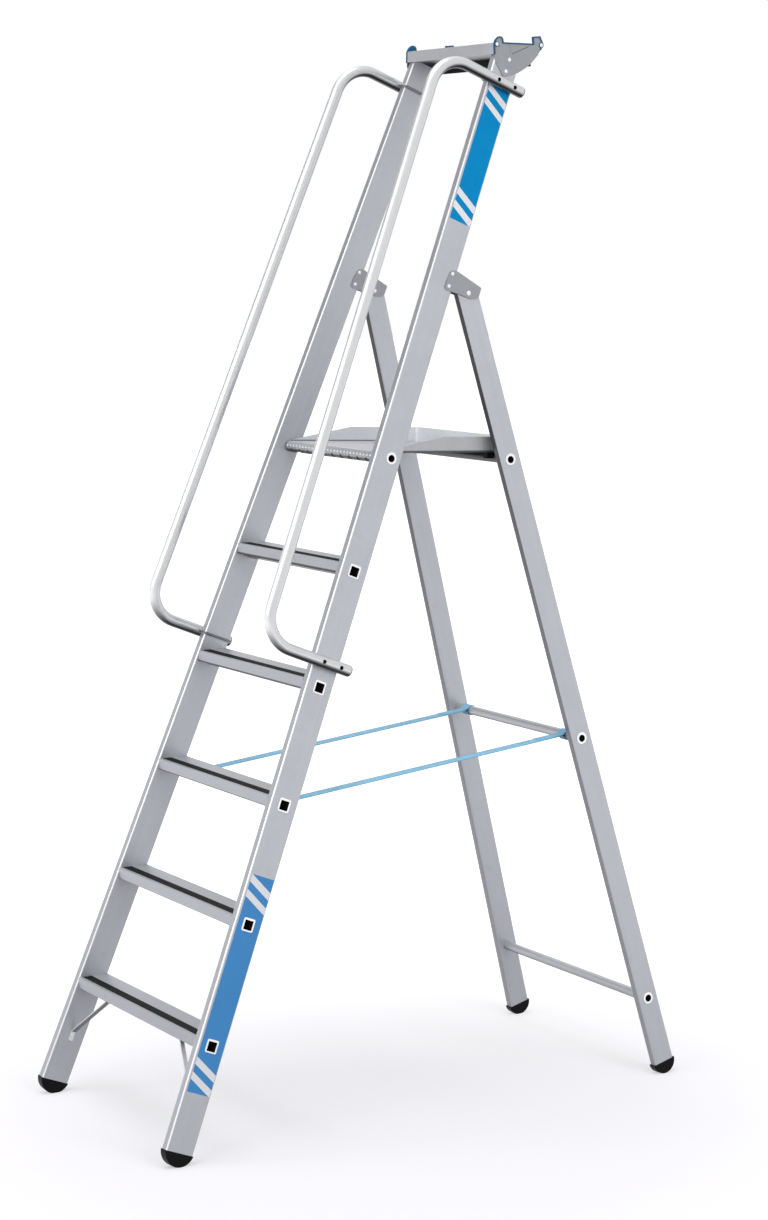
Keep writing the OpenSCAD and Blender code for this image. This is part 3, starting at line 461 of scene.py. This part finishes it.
def deck_metal():
    """Pressed platform sheet: rows of small raised lenses on the nose and the standing surface, rubbed
    bright on top. Shade is painted on faces that point down and in a band low on the cheeks, and the
    cheeks are painted lighter on their inner faces and darker on their outer ones."""
    lens_wide, lens_long, lens_squash = 0.0135, 0.0095, 1.6
    fold_shade_top, fold_shade_full = 0.0158, 0.0130
    t = Tree("deck_metal")
    x = t.along(ACROSS)
    y = t.along(DEPTH, (0, DECK_TUBE[0], 0))
    z = t.along(RISE, (0, 0, DECK_TUBE[1]))
    row = t.times(t.subtract(y, z), 1.0 / lens_long)
    odd = t.times(t.math("FLOOR", t.math("FLOORED_MODULO", row, 2.0)), 0.5)
    cell_x = t.subtract(t.math("FRACT", t.add(t.times(x, 1.0 / lens_wide), odd)), 0.5)
    cell_y = t.subtract(t.math("FRACT", row), 0.5)
    squashed = t.times(t.times(cell_y, cell_y), lens_squash)
    radius = t.math("SQRT", t.add(t.times(cell_x, cell_x), squashed))
    sideways = t.absolute(t.faces(ACROSS))
    on_top = t.times(t.ramp(t.faces(RISE), -0.45, 0.0), t.ramp(sideways, 0.5, 0.3))
    emboss = t.times(t.ramp(radius, 0.45, 0.12), on_top)
    patches = t.noise(t.place, 14.0, detail=5.0, rough=0.62)
    grit = t.noise(t.place, 520.0, detail=3.0, rough=0.6)
    lines = t.stretched_noise((x, 4.0), (y, 420.0), (z, 420.0), detail=3.0)
    gain = t.add(t.add(t.centred(patches, 0.2), t.centred(grit, 0.14)),
                 t.add(t.math("MULTIPLY_ADD", emboss, 0.5, -0.16), t.centred(lines, 0.06)))
    upright = t.ramp(sideways, 0.5, 0.8)
    # Painted light and shade: cheeks lighter on their inner faces, darker on their outer ones.
    gain = t.add(gain, t.times(upright, t.ramp(t.outward(), -0.5, 0.5, start=0.30, end=-0.12)))
    # Painted shade on faces that point down.
    below = t.ramp(t.faces(RISE), -0.10, -0.60)
    # Painted shade in a band low on the cheeks.
    fold_shade = t.times(t.ramp(t.along(DECK_UP, (0, *DECK_TUBE)), fold_shade_top, fold_shade_full), upright)
    # Together these give the painted shade of the underside and the cheeks' low band.
    dark = t.times(t.math("MAXIMUM", below, t.times(fold_shade, 0.9)), -0.92)
    colour = t.shade(t.shade(DECK_METAL, gain), dark)
    roughness = t.add(t.add(t.centred(patches, 0.2), t.times(emboss, -0.1)), 0.42)
    height = t.add(emboss, t.times(grit, 0.12))
    return t.finish(colour, roughness, t.bump(height, 0.0022), metallic=0.4)


def plate_metal(name, crease=None, painted_shade=None):
    """Grey pressed plate with a matt skin, softened edges and optional pressed creases with painted shade
    along them, and optional painted shade on a face.
    """
    t = Tree(name)
    patches = t.noise(t.place, 26.0, detail=5.0, rough=0.62)
    grit = t.noise(t.place, 900.0, detail=2.0)
    rolled = t.stretched_noise((t.along(ACROSS), 60.0), (t.along(BACK), 800.0),
                               (t.along(UP_FRONT), 14.0), detail=3.0)
    gain = t.add(t.centred(patches, 0.16), t.add(t.centred(grit, 0.08), t.centred(rolled, 0.08)))
    height = t.add(t.times(grit, 0.4), t.times(rolled, 0.3))
    normal = t.bump(height, 0.00006, strength=0.8, normal=t.soft_edges(0.0005))
    if crease:
        lines = crease(t)
        # Painted shade along the creases.
        gain = t.add(gain, t.times(lines, -0.75))
        normal = t.bump(lines, 0.0006, strength=0.9, normal=normal)
    colour = t.shade(PLATE_METAL, gain)
    if painted_shade:
        colour = t.shade(colour, t.times(painted_shade(t), -0.8))
    return t.finish(colour, t.add(t.centred(patches, 0.2), 0.42), normal, metallic=0.35)


def plate_inside(t):
    """The inner face of a tray side plate below the pan, where shade is painted."""
    below = t.ramp(t.along(RISE), TRAY_FLOOR + 0.004, TRAY_FLOOR - 0.004)
    return t.times(t.ramp(t.outward(), -0.3, -0.8), below)


def line_share(t, start, end, width):
    """Share that is 1 on a straight line across a stile's side, between two places given as (s, o)."""
    fade = 0.006
    run = Vector((end[0] - start[0], end[1] - start[1]))
    length = run.length
    run /= length
    origin = (0, *front_point(*start))
    a = t.along(UP_FRONT * run.x + BACK * run.y, origin)
    b = t.absolute(t.along(UP_FRONT * -run.y + BACK * run.x, origin))
    inside = t.times(t.ramp(a, 0.0, fade), t.ramp(a, length, length - fade))
    return t.times(t.ramp(b, width, width * 0.3), inside)


def tray_creases(t):
    """Two creases of a tray side plate, from its middle up to the rear and, fainter, up to the front."""
    middle, rear, front, width = (2.4108, 0.0028), (2.4480, 0.0426), (2.4430, -0.0160), 0.0011
    faint = t.times(line_share(t, middle, front, width), 0.35)
    return t.add(line_share(t, middle, rear, width), faint)


def rivet_metal(name, tint, rough, metallic):
    """Plated fasteners: bright, with small dents and softened edges."""
    t = Tree(name)
    dents = t.noise(t.place, 700.0, detail=3.0)
    patches = t.noise(t.place, 160.0, detail=3.0)
    colour = t.shade(tint, t.add(t.centred(patches, 0.16), t.centred(dents, 0.1)))
    normal = t.bump(dents, 0.00012, strength=0.8, normal=t.soft_edges(0.0004))
    return t.finish(colour, t.add(t.centred(patches, 0.14), rough), normal, metallic=metallic)


def moulded(name, tint, rough, grain=900.0, depth=0.00016, dust=0.5, specular=0.3):
    """Moulded plastic or rubber: fine spark-eroded grain, scuffs and a little dust."""
    t = Tree(name)
    fine = t.noise(t.place, grain, detail=3.0, rough=0.6)
    cloud = t.noise(t.place, 40.0, detail=4.0, rough=0.6)
    scuff = t.ramp(t.stretched_noise((t.along(ACROSS), 120.0), (t.along(DEPTH), 420.0),
                                     (t.along(RISE), 300.0), detail=3.0), 0.60, 0.75)
    marks = t.add(t.centred(fine, 0.5 * dust), t.times(scuff, 0.8 * dust))
    gain = t.add(t.centred(cloud, 0.5 * dust), marks)
    height = t.add(fine, t.times(scuff, -0.3))
    normal = t.bump(height, depth, strength=0.8, normal=t.soft_edges(0.0006))
    return t.finish(t.shade(tint, gain), t.add(t.centred(cloud, 0.2), rough), normal,
                    **{"Specular IOR Level": specular})


give(rail_metal(), "handrail_left", "handrail_right")
give(deck_metal(), "platform_deck")
give(plate_metal("hinge_plate_metal"),
     "hinge_outer_left", "hinge_inner_left", "hinge_outer_right", "hinge_inner_right")
give(plate_metal("tray_plate_metal", tray_creases, plate_inside), "tray_side_left", "tray_side_right")
give(rivet_metal("bright_rivets", RIVET_METAL, rough=0.36, metallic=0.35),
     "hinge_rivets", "tray_rivets", "brace_rivets", "hook_rivets", "strap_rivets",
     "pivot_pin_left", "pivot_pin_right")
give(rivet_metal("rod_metal", ROD_METAL, rough=0.34, metallic=0.8), "rail_clamps")
# The screws' near black is painted shade.
give(rivet_metal("dark_screws", SCREW_SHADE_DARK, rough=0.45, metallic=0.7), "rail_screws")
give(moulded("grip_plastic", GRIP_BLACK, rough=0.55, specular=0.1),
     *("grip_%d" % (i + 1) for i in range(len(STEP_UPS))))
give(moulded("hook_plastic", HOOK_BLACK, rough=0.5, specular=0.1),
     "platform_hook_left", "platform_hook_right")
give(moulded("foot_rubber", FOOT_BLACK, rough=0.42, grain=500.0, depth=0.0002, specular=0.10),
     "front_foot_left", "front_foot_right", "rear_foot_left", "rear_foot_right")
give(moulded("plug_plastic", PLUG_GREY, rough=0.45, dust=0.3), "rail_plugs")
give(moulded("trim_plastic", TRIM_BLUE, rough=0.42, grain=700.0, depth=0.0001, dust=0.3, specular=0.2),
     "tray_trim_left", "tray_trim_right")


# Webbing of the spreader straps, in metres
LAYER_HALF = 0.0007                # half of one layer's thickness
TAB_THICK = 0.0030                 # the two layers on the spigot, with their sewing
TAB_LOW = 0.0092                   # the tab's lower end, below the spigot's centre
TAB_HIGH = 0.0088                  # where the tab turns over, above that centre
TAB_DROP = 0.0010                  # where its outer layer leaves the spigot, below that centre
TAB_BEND = 0.0022                  # radius of the bend there
SEAM_LIFT = 0.0020                 # where the span aims, above the rear tube's centre
LOOP_REACH = 0.0185                # the seam of the loop, before that aim
LOOP_RADIUS = 0.0103               # inside of the loop round the rear tube
SEWN_GAP = 0.0016                  # the end that is sewn back, above the span
SEWN_STEP = 0.010                  # length of each of its parts
STRAP_HALF_WIDTH = 0.0130
TURN_STEPS, BEND_STEPS, SPAN_STEPS, LOOP_STEPS, SEWN_STEPS = 6, 8, 24, 24, 6


def webbing():
    """Woven strap: twill ribs across the width and a selvedge at each edge."""
    warp_pitch, weft_pitch = 0.0024, 0.0017
    selvedge_starts, selvedge_full = 0.0108, 0.0116
    t = Tree("strap_webbing")
    u, v = t.uv("weave")
    warp = t.math("SINE", t.times(t.add(u, t.times(v, 0.35)), 2 * math.pi / warp_pitch))
    weft = t.math("SINE", t.times(t.subtract(v, t.times(u, 0.2)), 2 * math.pi / weft_pitch))
    weave = t.math("MULTIPLY_ADD", t.times(warp, weft), 0.5, 0.5)
    edge = t.ramp(t.absolute(u), selvedge_starts, selvedge_full)
    cloud = t.noise(t.vector(t.times(u, 60.0), t.times(v, 22.0), 0.0), 1.0, detail=4.0)
    fuzz = t.noise(t.vector(t.times(u, 2400.0), t.times(v, 2400.0), 0.0), 1.0, detail=2.0)
    gain = t.add(t.add(t.centred(weave, 0.30), t.centred(cloud, 0.22)),
                 t.add(t.centred(fuzz, 0.16), t.times(edge, -0.12)))
    height = t.add(weave, t.times(fuzz, 0.3))
    return t.finish(t.shade(WEB_BLUE, gain), t.add(t.centred(weave, -0.1), 0.72),
                    t.bump(height, 0.00045, strength=0.9),
                    **{"Sheen Weight": 0.25, "Sheen Roughness": 0.4})


def arc(centre, radius, first, last, steps, start=1):
    """Points on an arc from one angle to another."""
    for k in range(start, steps + 1):
        a = first + (last - first) * k / steps
        yield centre + radius * Vector((math.cos(a), math.sin(a)))


def strap_route():
    """Middle line of a strap as (y, z): a doubled tab on the third step, the span, and the loop sewn
    round the tube. Also where the span starts and ends, and its direction."""
    s = STEP_UPS[2]
    inner, outer = SPIGOT_HALF + LAYER_HALF, SPIGOT_HALF + TAB_THICK - LAYER_HALF
    points = [front_point(s - TAB_LOW, inner), front_point(s + TAB_HIGH, inner)]
    middle = (inner + outer) / 2
    turn = (outer - inner) / 2
    for k in range(1, TURN_STEPS):
        a = math.pi * k / TURN_STEPS
        points.append(front_point(s + TAB_HIGH + turn * math.sin(a), middle - turn * math.cos(a)))
    points.append(front_point(s + TAB_HIGH, outer))
    points.append(front_point(s - TAB_DROP, outer))
    centre = Vector(REAR_TUBES["rear_tube_mid"])
    pivot = front_point(s - TAB_DROP, outer + TAB_BEND)
    heading = (centre - pivot).normalized()
    start_angle = math.atan2(*reversed((points[-1] - pivot).normalized()))
    end_angle = math.atan2(-heading.x, heading.y)
    while end_angle < start_angle:
        end_angle += 2 * math.pi
    points += arc(pivot, TAB_BEND, start_angle, end_angle, BEND_STEPS)
    leave = points[-1]
    goal = centre + Vector((0, SEAM_LIFT))
    ahead = (goal - leave).normalized()
    seam = goal - ahead * LOOP_REACH
    points += [leave + (seam - leave) * k / SPAN_STEPS for k in range(1, SPAN_STEPS + 1)]
    facing = math.atan2(-ahead.y, -ahead.x)
    radius = LOOP_RADIUS + LAYER_HALF
    swing = math.acos(radius / LOOP_REACH)
    points += arc(centre, radius, facing + swing, facing + 2 * math.pi - swing, LOOP_STEPS, start=0)
    above = Vector((-ahead.y, ahead.x)) * SEWN_GAP
    points += [seam + above - ahead * (SEWN_STEP * k) for k in range(SEWN_STEPS + 1)]
    return points, leave, seam, ahead


def span_thickness(p, leave, seam, ahead):
    """The span's thickness as a multiple of one layer: it is nearly doubled away from its ends."""
    off_span, more, first, last = 0.0004, 0.9, 0.03, 0.06
    if abs((p - leave).cross(ahead)) >= off_span:
        return 1.0
    share = min(1.0, (p - leave).dot(ahead) / first, (seam - p).dot(ahead) / last)
    return 1.0 + more * max(0.0, share)


def strap_mesh(name, side):
    """A strap along its route, with where its span starts and ends and its direction."""
    route, leave, seam, ahead = strap_route()
    edge_share = 0.35
    section = [(x * STRAP_HALF_WIDTH, LAYER_HALF * (edge_share if abs(x) == 1.0 else 1.0))
               for x in (-1.0, -0.96, -0.5, 0.0, 0.5, 0.96, 1.0)]
    ring = section + [(x, -h) for x, h in reversed(section)]
    mesh = bpy.data.meshes.new(name)
    work = bmesh.new()
    layer = work.loops.layers.uv.new("weave")
    travelled = 0.0
    rows, lengths = [], []
    for i, p in enumerate(route):
        before = route[max(i - 1, 0)]
        after = route[min(i + 1, len(route) - 1)]
        run = (after - before).normalized()
        if i:
            travelled += (p - before).length
        lift = Vector((-run.y, run.x)) * span_thickness(p, leave, seam, ahead)
        rows.append([work.verts.new((side * STRAP_SIDE + x, p.x + lift.x * h, p.y + lift.y * h))
                     for x, h in ring])
        lengths.append(travelled)
    for i in range(len(rows) - 1):
        for k in range(len(ring)):
            m = (k + 1) % len(ring)
            face = work.faces.new((rows[i][k], rows[i][m], rows[i + 1][m], rows[i + 1][k]))
            face.smooth = True
            for loop, (j, n) in zip(face.loops, ((k, i), (m, i), (m, i + 1), (k, i + 1))):
                loop[layer].uv = (ring[j][0], lengths[n])
    for row, length in ((list(reversed(rows[0])), 0.0), (rows[-1], lengths[-1])):
        face = work.faces.new(row)
        for loop in face.loops:
            loop[layer].uv = (loop.vert.co.x - side * STRAP_SIDE, length)
    bmesh.ops.recalc_face_normals(work, faces=work.faces)
    work.to_mesh(mesh)
    work.free()
    return put_in_scene(name, mesh), leave, seam, ahead


web = webbing()
for side, word in SIDES:
    strap, leave, seam, ahead = strap_mesh("webbing_" + word, side)
    strap.data.materials.append(web)
    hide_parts("strap_" + word)
    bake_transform(strap)


# Rear upstand of the platform sheet, between its cheeks
def platform_upstand():
    """A bent strip of sheet along the rear edge, with a short wing beside each cheek."""
    thick, top, bend, bend_steps = 0.0016, 0.0446, 0.008, 6
    wing, gap, end_gap, round_top = 0.030, 0.0002, 0.0004, 0.0004
    rear = DECK_LENGTH - end_gap - thick / 2

    def inside(y):
        """Half of the room between the cheeks, less half of this sheet."""
        return DECK_HALF - y * math.tan(TILT) - CHEEK_THICK / math.cos(TILT) - gap - thick / 2

    line = [(-inside(rear - wing), rear - wing), (-inside(rear - bend), rear - bend)]
    for k in range(1, bend_steps + 1):
        a = math.pi / 2 * k / bend_steps
        line.append((-inside(rear) + bend * (1 - math.cos(a)), rear - bend * (1 - math.sin(a))))
    line += [(-x, y) for x, y in reversed(line)]
    mesh = bpy.data.meshes.new("platform_upstand")
    work = bmesh.new()
    origin = Vector((0, *DECK_TUBE))
    section = ((1, DECK_TOP), (1, top - round_top), (0.5, top),
               (-0.5, top), (-1, top - round_top), (-1, DECK_TOP))
    rows = []
    for i, (x, y) in enumerate(line):
        run = (Vector(line[min(i + 1, len(line) - 1)]) - Vector(line[max(i - 1, 0)])).normalized()
        out = Vector((-run.y, run.x)) * thick / 2
        rows.append([work.verts.new(origin + ACROSS * (x + out.x * share) + DECK_BACK * (y + out.y * share)
                                    + DECK_UP * height) for share, height in section])
    for one, two in zip(rows, rows[1:]):
        for k in range(len(one)):
            m = (k + 1) % len(one)
            work.faces.new((one[k], one[m], two[m], two[k]))
    work.faces.new(rows[0])
    work.faces.new(list(reversed(rows[-1])))
    bmesh.ops.recalc_face_normals(work, faces=work.faces)
    work.to_mesh(mesh)
    work.free()
    piece = put_in_scene("platform_upstand", mesh)
    # Its nearly white colour is painted light.
    mesh.materials.append(extruded("upstand_metal", ACROSS, RISE, UPSTAND_PAINTED_LIGHT, seed=36.0, blotch=0.12))
    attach(piece, "platform")


platform_upstand()


# Printed film on the right stile: a plain blue field with slanted stripes at both ends
def film(name, tint, stripes):
    """A blue film; each stripe is a (low, high) pair up the stile at the film's middle."""
    blur, slope = 0.0003, 0.5
    t = Tree(name)
    o, s = t.uv("film")
    slant = t.math("MULTIPLY_ADD", o, slope, s)
    white = 0.0
    for low, high in stripes:
        band = t.times(t.ramp(slant, low - blur, low + blur), t.ramp(slant, high + blur, high - blur))
        white = t.math("MAXIMUM", white, band)
    cloud = t.noise(t.place, 30.0, detail=4.0)
    grain = t.noise(t.place, 1500.0, detail=2.0)
    drawn = t.vector(t.times(o, 300.0), t.times(s, 20.0), 0.0)
    scratch = t.ramp(t.noise(drawn, 1.0, detail=3.0), 0.66, 0.74)
    wear_and_shade = t.add(t.centred(cloud, 0.14), t.add(t.centred(grain, 0.08), t.times(scratch, 0.12)))
    stripe = t.shade(FILM_WHITE, t.add(t.centred(cloud, 0.08), t.centred(grain, 0.05)))
    roughness = t.add(t.centred(cloud, 0.16), t.math("MULTIPLY_ADD", scratch, 0.15, 0.38))
    return t.finish(t.mix(white, t.shade(tint, wear_and_shade), stripe), roughness,
                    t.bump(t.add(grain, scratch), 0.00003, strength=0.6),
                    **{"Specular IOR Level": 0.1})


def film_piece(name, low, high, holes, material):
    """A thin film on the right stile's outer face, cut out round the step sockets."""
    thick, sheet_share = 0.00016, 0.9
    front, back = -0.0255, 0.0290
    hole = 0.0112
    levels = [low]
    for h in holes:
        levels += [h - hole, h + hole]
    levels.append(high)
    mesh = bpy.data.meshes.new(name)
    work = bmesh.new()
    layer = work.loops.layers.uv.new("film")
    seen = {}

    def corner(s, o):
        key = (round(s, 6), round(o, 6))
        if key not in seen:
            seen[key] = work.verts.new(stile_point(1, s, o, STILE_FACE + thick))
        return seen[key]

    for k in range(len(levels) - 1):
        spans = [(front, -hole), (-hole, hole), (hole, back)]
        if k % 2:  # between the lower and upper edge of a hole
            del spans[1]
        for a, b in spans:
            ring = [(levels[k], a), (levels[k], b), (levels[k + 1], b), (levels[k + 1], a)]
            made = work.faces.new([corner(s, o) for s, o in ring])
            for loop, (s, o) in zip(made.loops, ring):
                loop[layer].uv = (o, s)
    work.normal_update()
    out = stile_point(1, low, 0, 1.0) - stile_point(1, low, 0, 0.0)
    if sum(f.normal.dot(out) for f in work.faces) < 0:
        bmesh.ops.reverse_faces(work, faces=work.faces)
    work.to_mesh(mesh)
    work.free()
    piece = put_in_scene(name, mesh)
    body = piece.modifiers.new("thickness", "SOLIDIFY")
    body.thickness = thick * sheet_share
    body.offset = -1.0
    mesh.materials.append(material)
    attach(piece, "front_frame")


film_piece("film_low", 0.150, 0.597, STEP_UPS[:2],
           film("film_blue_low", FILM_LOW_BLUE,
                [(0.1632, 0.1780), (0.1933, 0.2082), (0.5382, 0.5528), (0.5687, 0.5844)]))
film_piece("film_high", 2.0240, 2.3320, [],
           film("film_blue_high", FILM_HIGH_BLUE,
                [(2.0370, 2.0522), (2.0670, 2.0822), (2.2750, 2.2888), (2.3050, 2.3195)]))


# Studio
LAMP_TARGET = (0, 0, 1.1)
AMBIENT_TINT = (0.95, 0.975, 1, 1)
AMBIENT = 0.47
FLOOR_HALF = 40
FLOOR_TONES = (0.54, 0.56)
FLOOR_TINT = (1.0, 0.965, 1.02)
FLOOR_BOUNCE_LESS = -0.30          # keeps the pale floor from lighting the undersides too much
SHADOW_POOL_MIDDLE = (0.4, -0.2, 0.0)     # middle of a painted shadow pool, where the floor's glow is lowest; white from the far radius on
POOL_NEAR, POOL_FAR = 0.4, 2.6     # radii between which it turns white
POOL_GLOW = 0.435                  # its glow in the middle


def area_lamp(name, place, size, power, mirrored=True):
    """A soft lamp aimed at the object; metal doesn't show one that isn't mirrored."""
    lamp = bpy.data.lights.new(name, "AREA")
    lamp.shape = "RECTANGLE"
    lamp.size, lamp.size_y = size
    lamp.energy = power
    made = put_in_scene(name, lamp)
    made.visible_glossy = mirrored
    made.location = place
    made.rotation_euler = (Vector(LAMP_TARGET) - Vector(place)).to_track_quat("-Z", "Y").to_euler()


def studio_world():
    """White where the camera or metal sees it, and soft cool light elsewhere."""
    world = bpy.data.worlds.new("studio")
    bpy.context.scene.world = world
    world.use_nodes = True
    n = Nodes(world.node_tree)
    n.tree.nodes.clear()
    path = n.node("ShaderNodeLightPath").outputs
    shown = n.math("MAXIMUM", n.math("MAXIMUM", path["Is Camera Ray"], path["Is Glossy Ray"]),
                   path["Is Transmission Ray"])
    lit = n.node("ShaderNodeBackground", {"Color": AMBIENT_TINT, "Strength": AMBIENT})
    seen = n.node("ShaderNodeBackground", {"Color": (1, 1, 1, 1), "Strength": 1.0})
    mix = n.node("ShaderNodeMixShader", {0: shown, 1: lit.outputs[0], 2: seen.outputs[0]})
    n.node("ShaderNodeOutputWorld", {0: mix.outputs[0]})


def studio_floor():
    """A pale floor that keeps the object's shadow, with a painted shadow pool where its glow is lower, and
    turns white further out.
    """
    mesh = bpy.data.meshes.new("floor")
    mesh.from_pydata([(-FLOOR_HALF, -FLOOR_HALF, 0), (FLOOR_HALF, -FLOOR_HALF, 0),
                      (FLOOR_HALF, FLOOR_HALF, 0), (-FLOOR_HALF, FLOOR_HALF, 0)], [], [(0, 1, 2, 3)])
    floor = put_in_scene("floor", mesh)
    material = bpy.data.materials.new("floor_white")
    material.use_nodes = True
    n = Nodes(material.node_tree)
    n.tree.nodes.clear()
    path = n.node("ShaderNodeLightPath").outputs
    grain = n.node("ShaderNodeTexNoise", {"Scale": 60.0}).outputs["Fac"]
    low, high = FLOOR_TONES
    tone = n.node("ShaderNodeMapRange", {"Value": grain, "To Min": low, "To Max": high})
    bounce = n.math("MULTIPLY_ADD", path["Is Diffuse Ray"], FLOOR_BOUNCE_LESS, tone.outputs["Result"])
    tint = n.node("ShaderNodeVectorMath", {0: FLOOR_TINT, "Scale": bounce}, operation="SCALE")
    plain = n.node("ShaderNodeBsdfDiffuse", {"Color": tint.outputs[0]})
    place = n.node("ShaderNodeTexCoord").outputs["Object"]
    away = n.vector_math("DISTANCE", place, SHADOW_POOL_MIDDLE).outputs["Value"]
    # Painted shadow pool: the glow is lowest near its middle.
    fade = n.ramp(away, POOL_NEAR, POOL_FAR, start=POOL_GLOW)
    shown = n.math("MAXIMUM", path["Is Camera Ray"], path["Is Glossy Ray"])
    glow = n.node("ShaderNodeEmission", {"Strength": n.times(shown, fade)})
    both = n.node("ShaderNodeAddShader", {0: plain.outputs[0], 1: glow.outputs[0]})
    n.node("ShaderNodeOutputMaterial", {"Surface": both.outputs[0]})
    mesh.materials.append(material)


def grey_flag(name, corners):
    """A grey card beside the object that metal mirrors, as used in a photo studio. The camera doesn't
    see it."""
    mesh = bpy.data.meshes.new(name)
    mesh.from_pydata(corners, [], [(0, 1, 2, 3)])
    card = put_in_scene(name, mesh)
    material = bpy.data.materials.new(name + "_cloth")
    material.use_nodes = True
    shader = material.node_tree.nodes["Principled BSDF"]
    shader.inputs["Base Color"].default_value = FLAG_GREY
    shader.inputs["Roughness"].default_value = 0.9
    mesh.materials.append(material)
    card.visible_camera = False
    card.visible_shadow = False


area_lamp("key", (5.2, 0.6, 2.9), size=(4.0, 4.0), power=138, mirrored=False)
area_lamp("top", (0.1, -0.9, 5.8), size=(3.2, 3.2), power=78)
area_lamp("front", (0.2, -5.0, 3.4), size=(5.0, 3.0), power=98)
area_lamp("back_strip", (2.6, 4.6, 2.0), size=(0.5, 3.0), power=6)
studio_world()
studio_floor()
grey_flag("flag_left", [(-3.0, -5.0, 2.2), (-3.0, 0.2, 2.2), (-3.0, 0.2, 5.5), (-3.0, -5.0, 5.5)])

# Camera at the photograph's viewing angle
lens = bpy.data.cameras.new("camera")
lens.lens = 83.82
lens.sensor_width = 36.0
lens.shift_y = -0.1573
lens.clip_end = 200.0
camera = put_in_scene("camera", lens)
camera.location = (5.2473, -2.5567 - MIDDLE, 1.8469)
camera.rotation_euler = (math.radians(90 - 3.602), 0, math.radians(58.373))
bpy.context.scene.camera = camera
bpy.context.scene.view_settings.view_transform = "Standard"
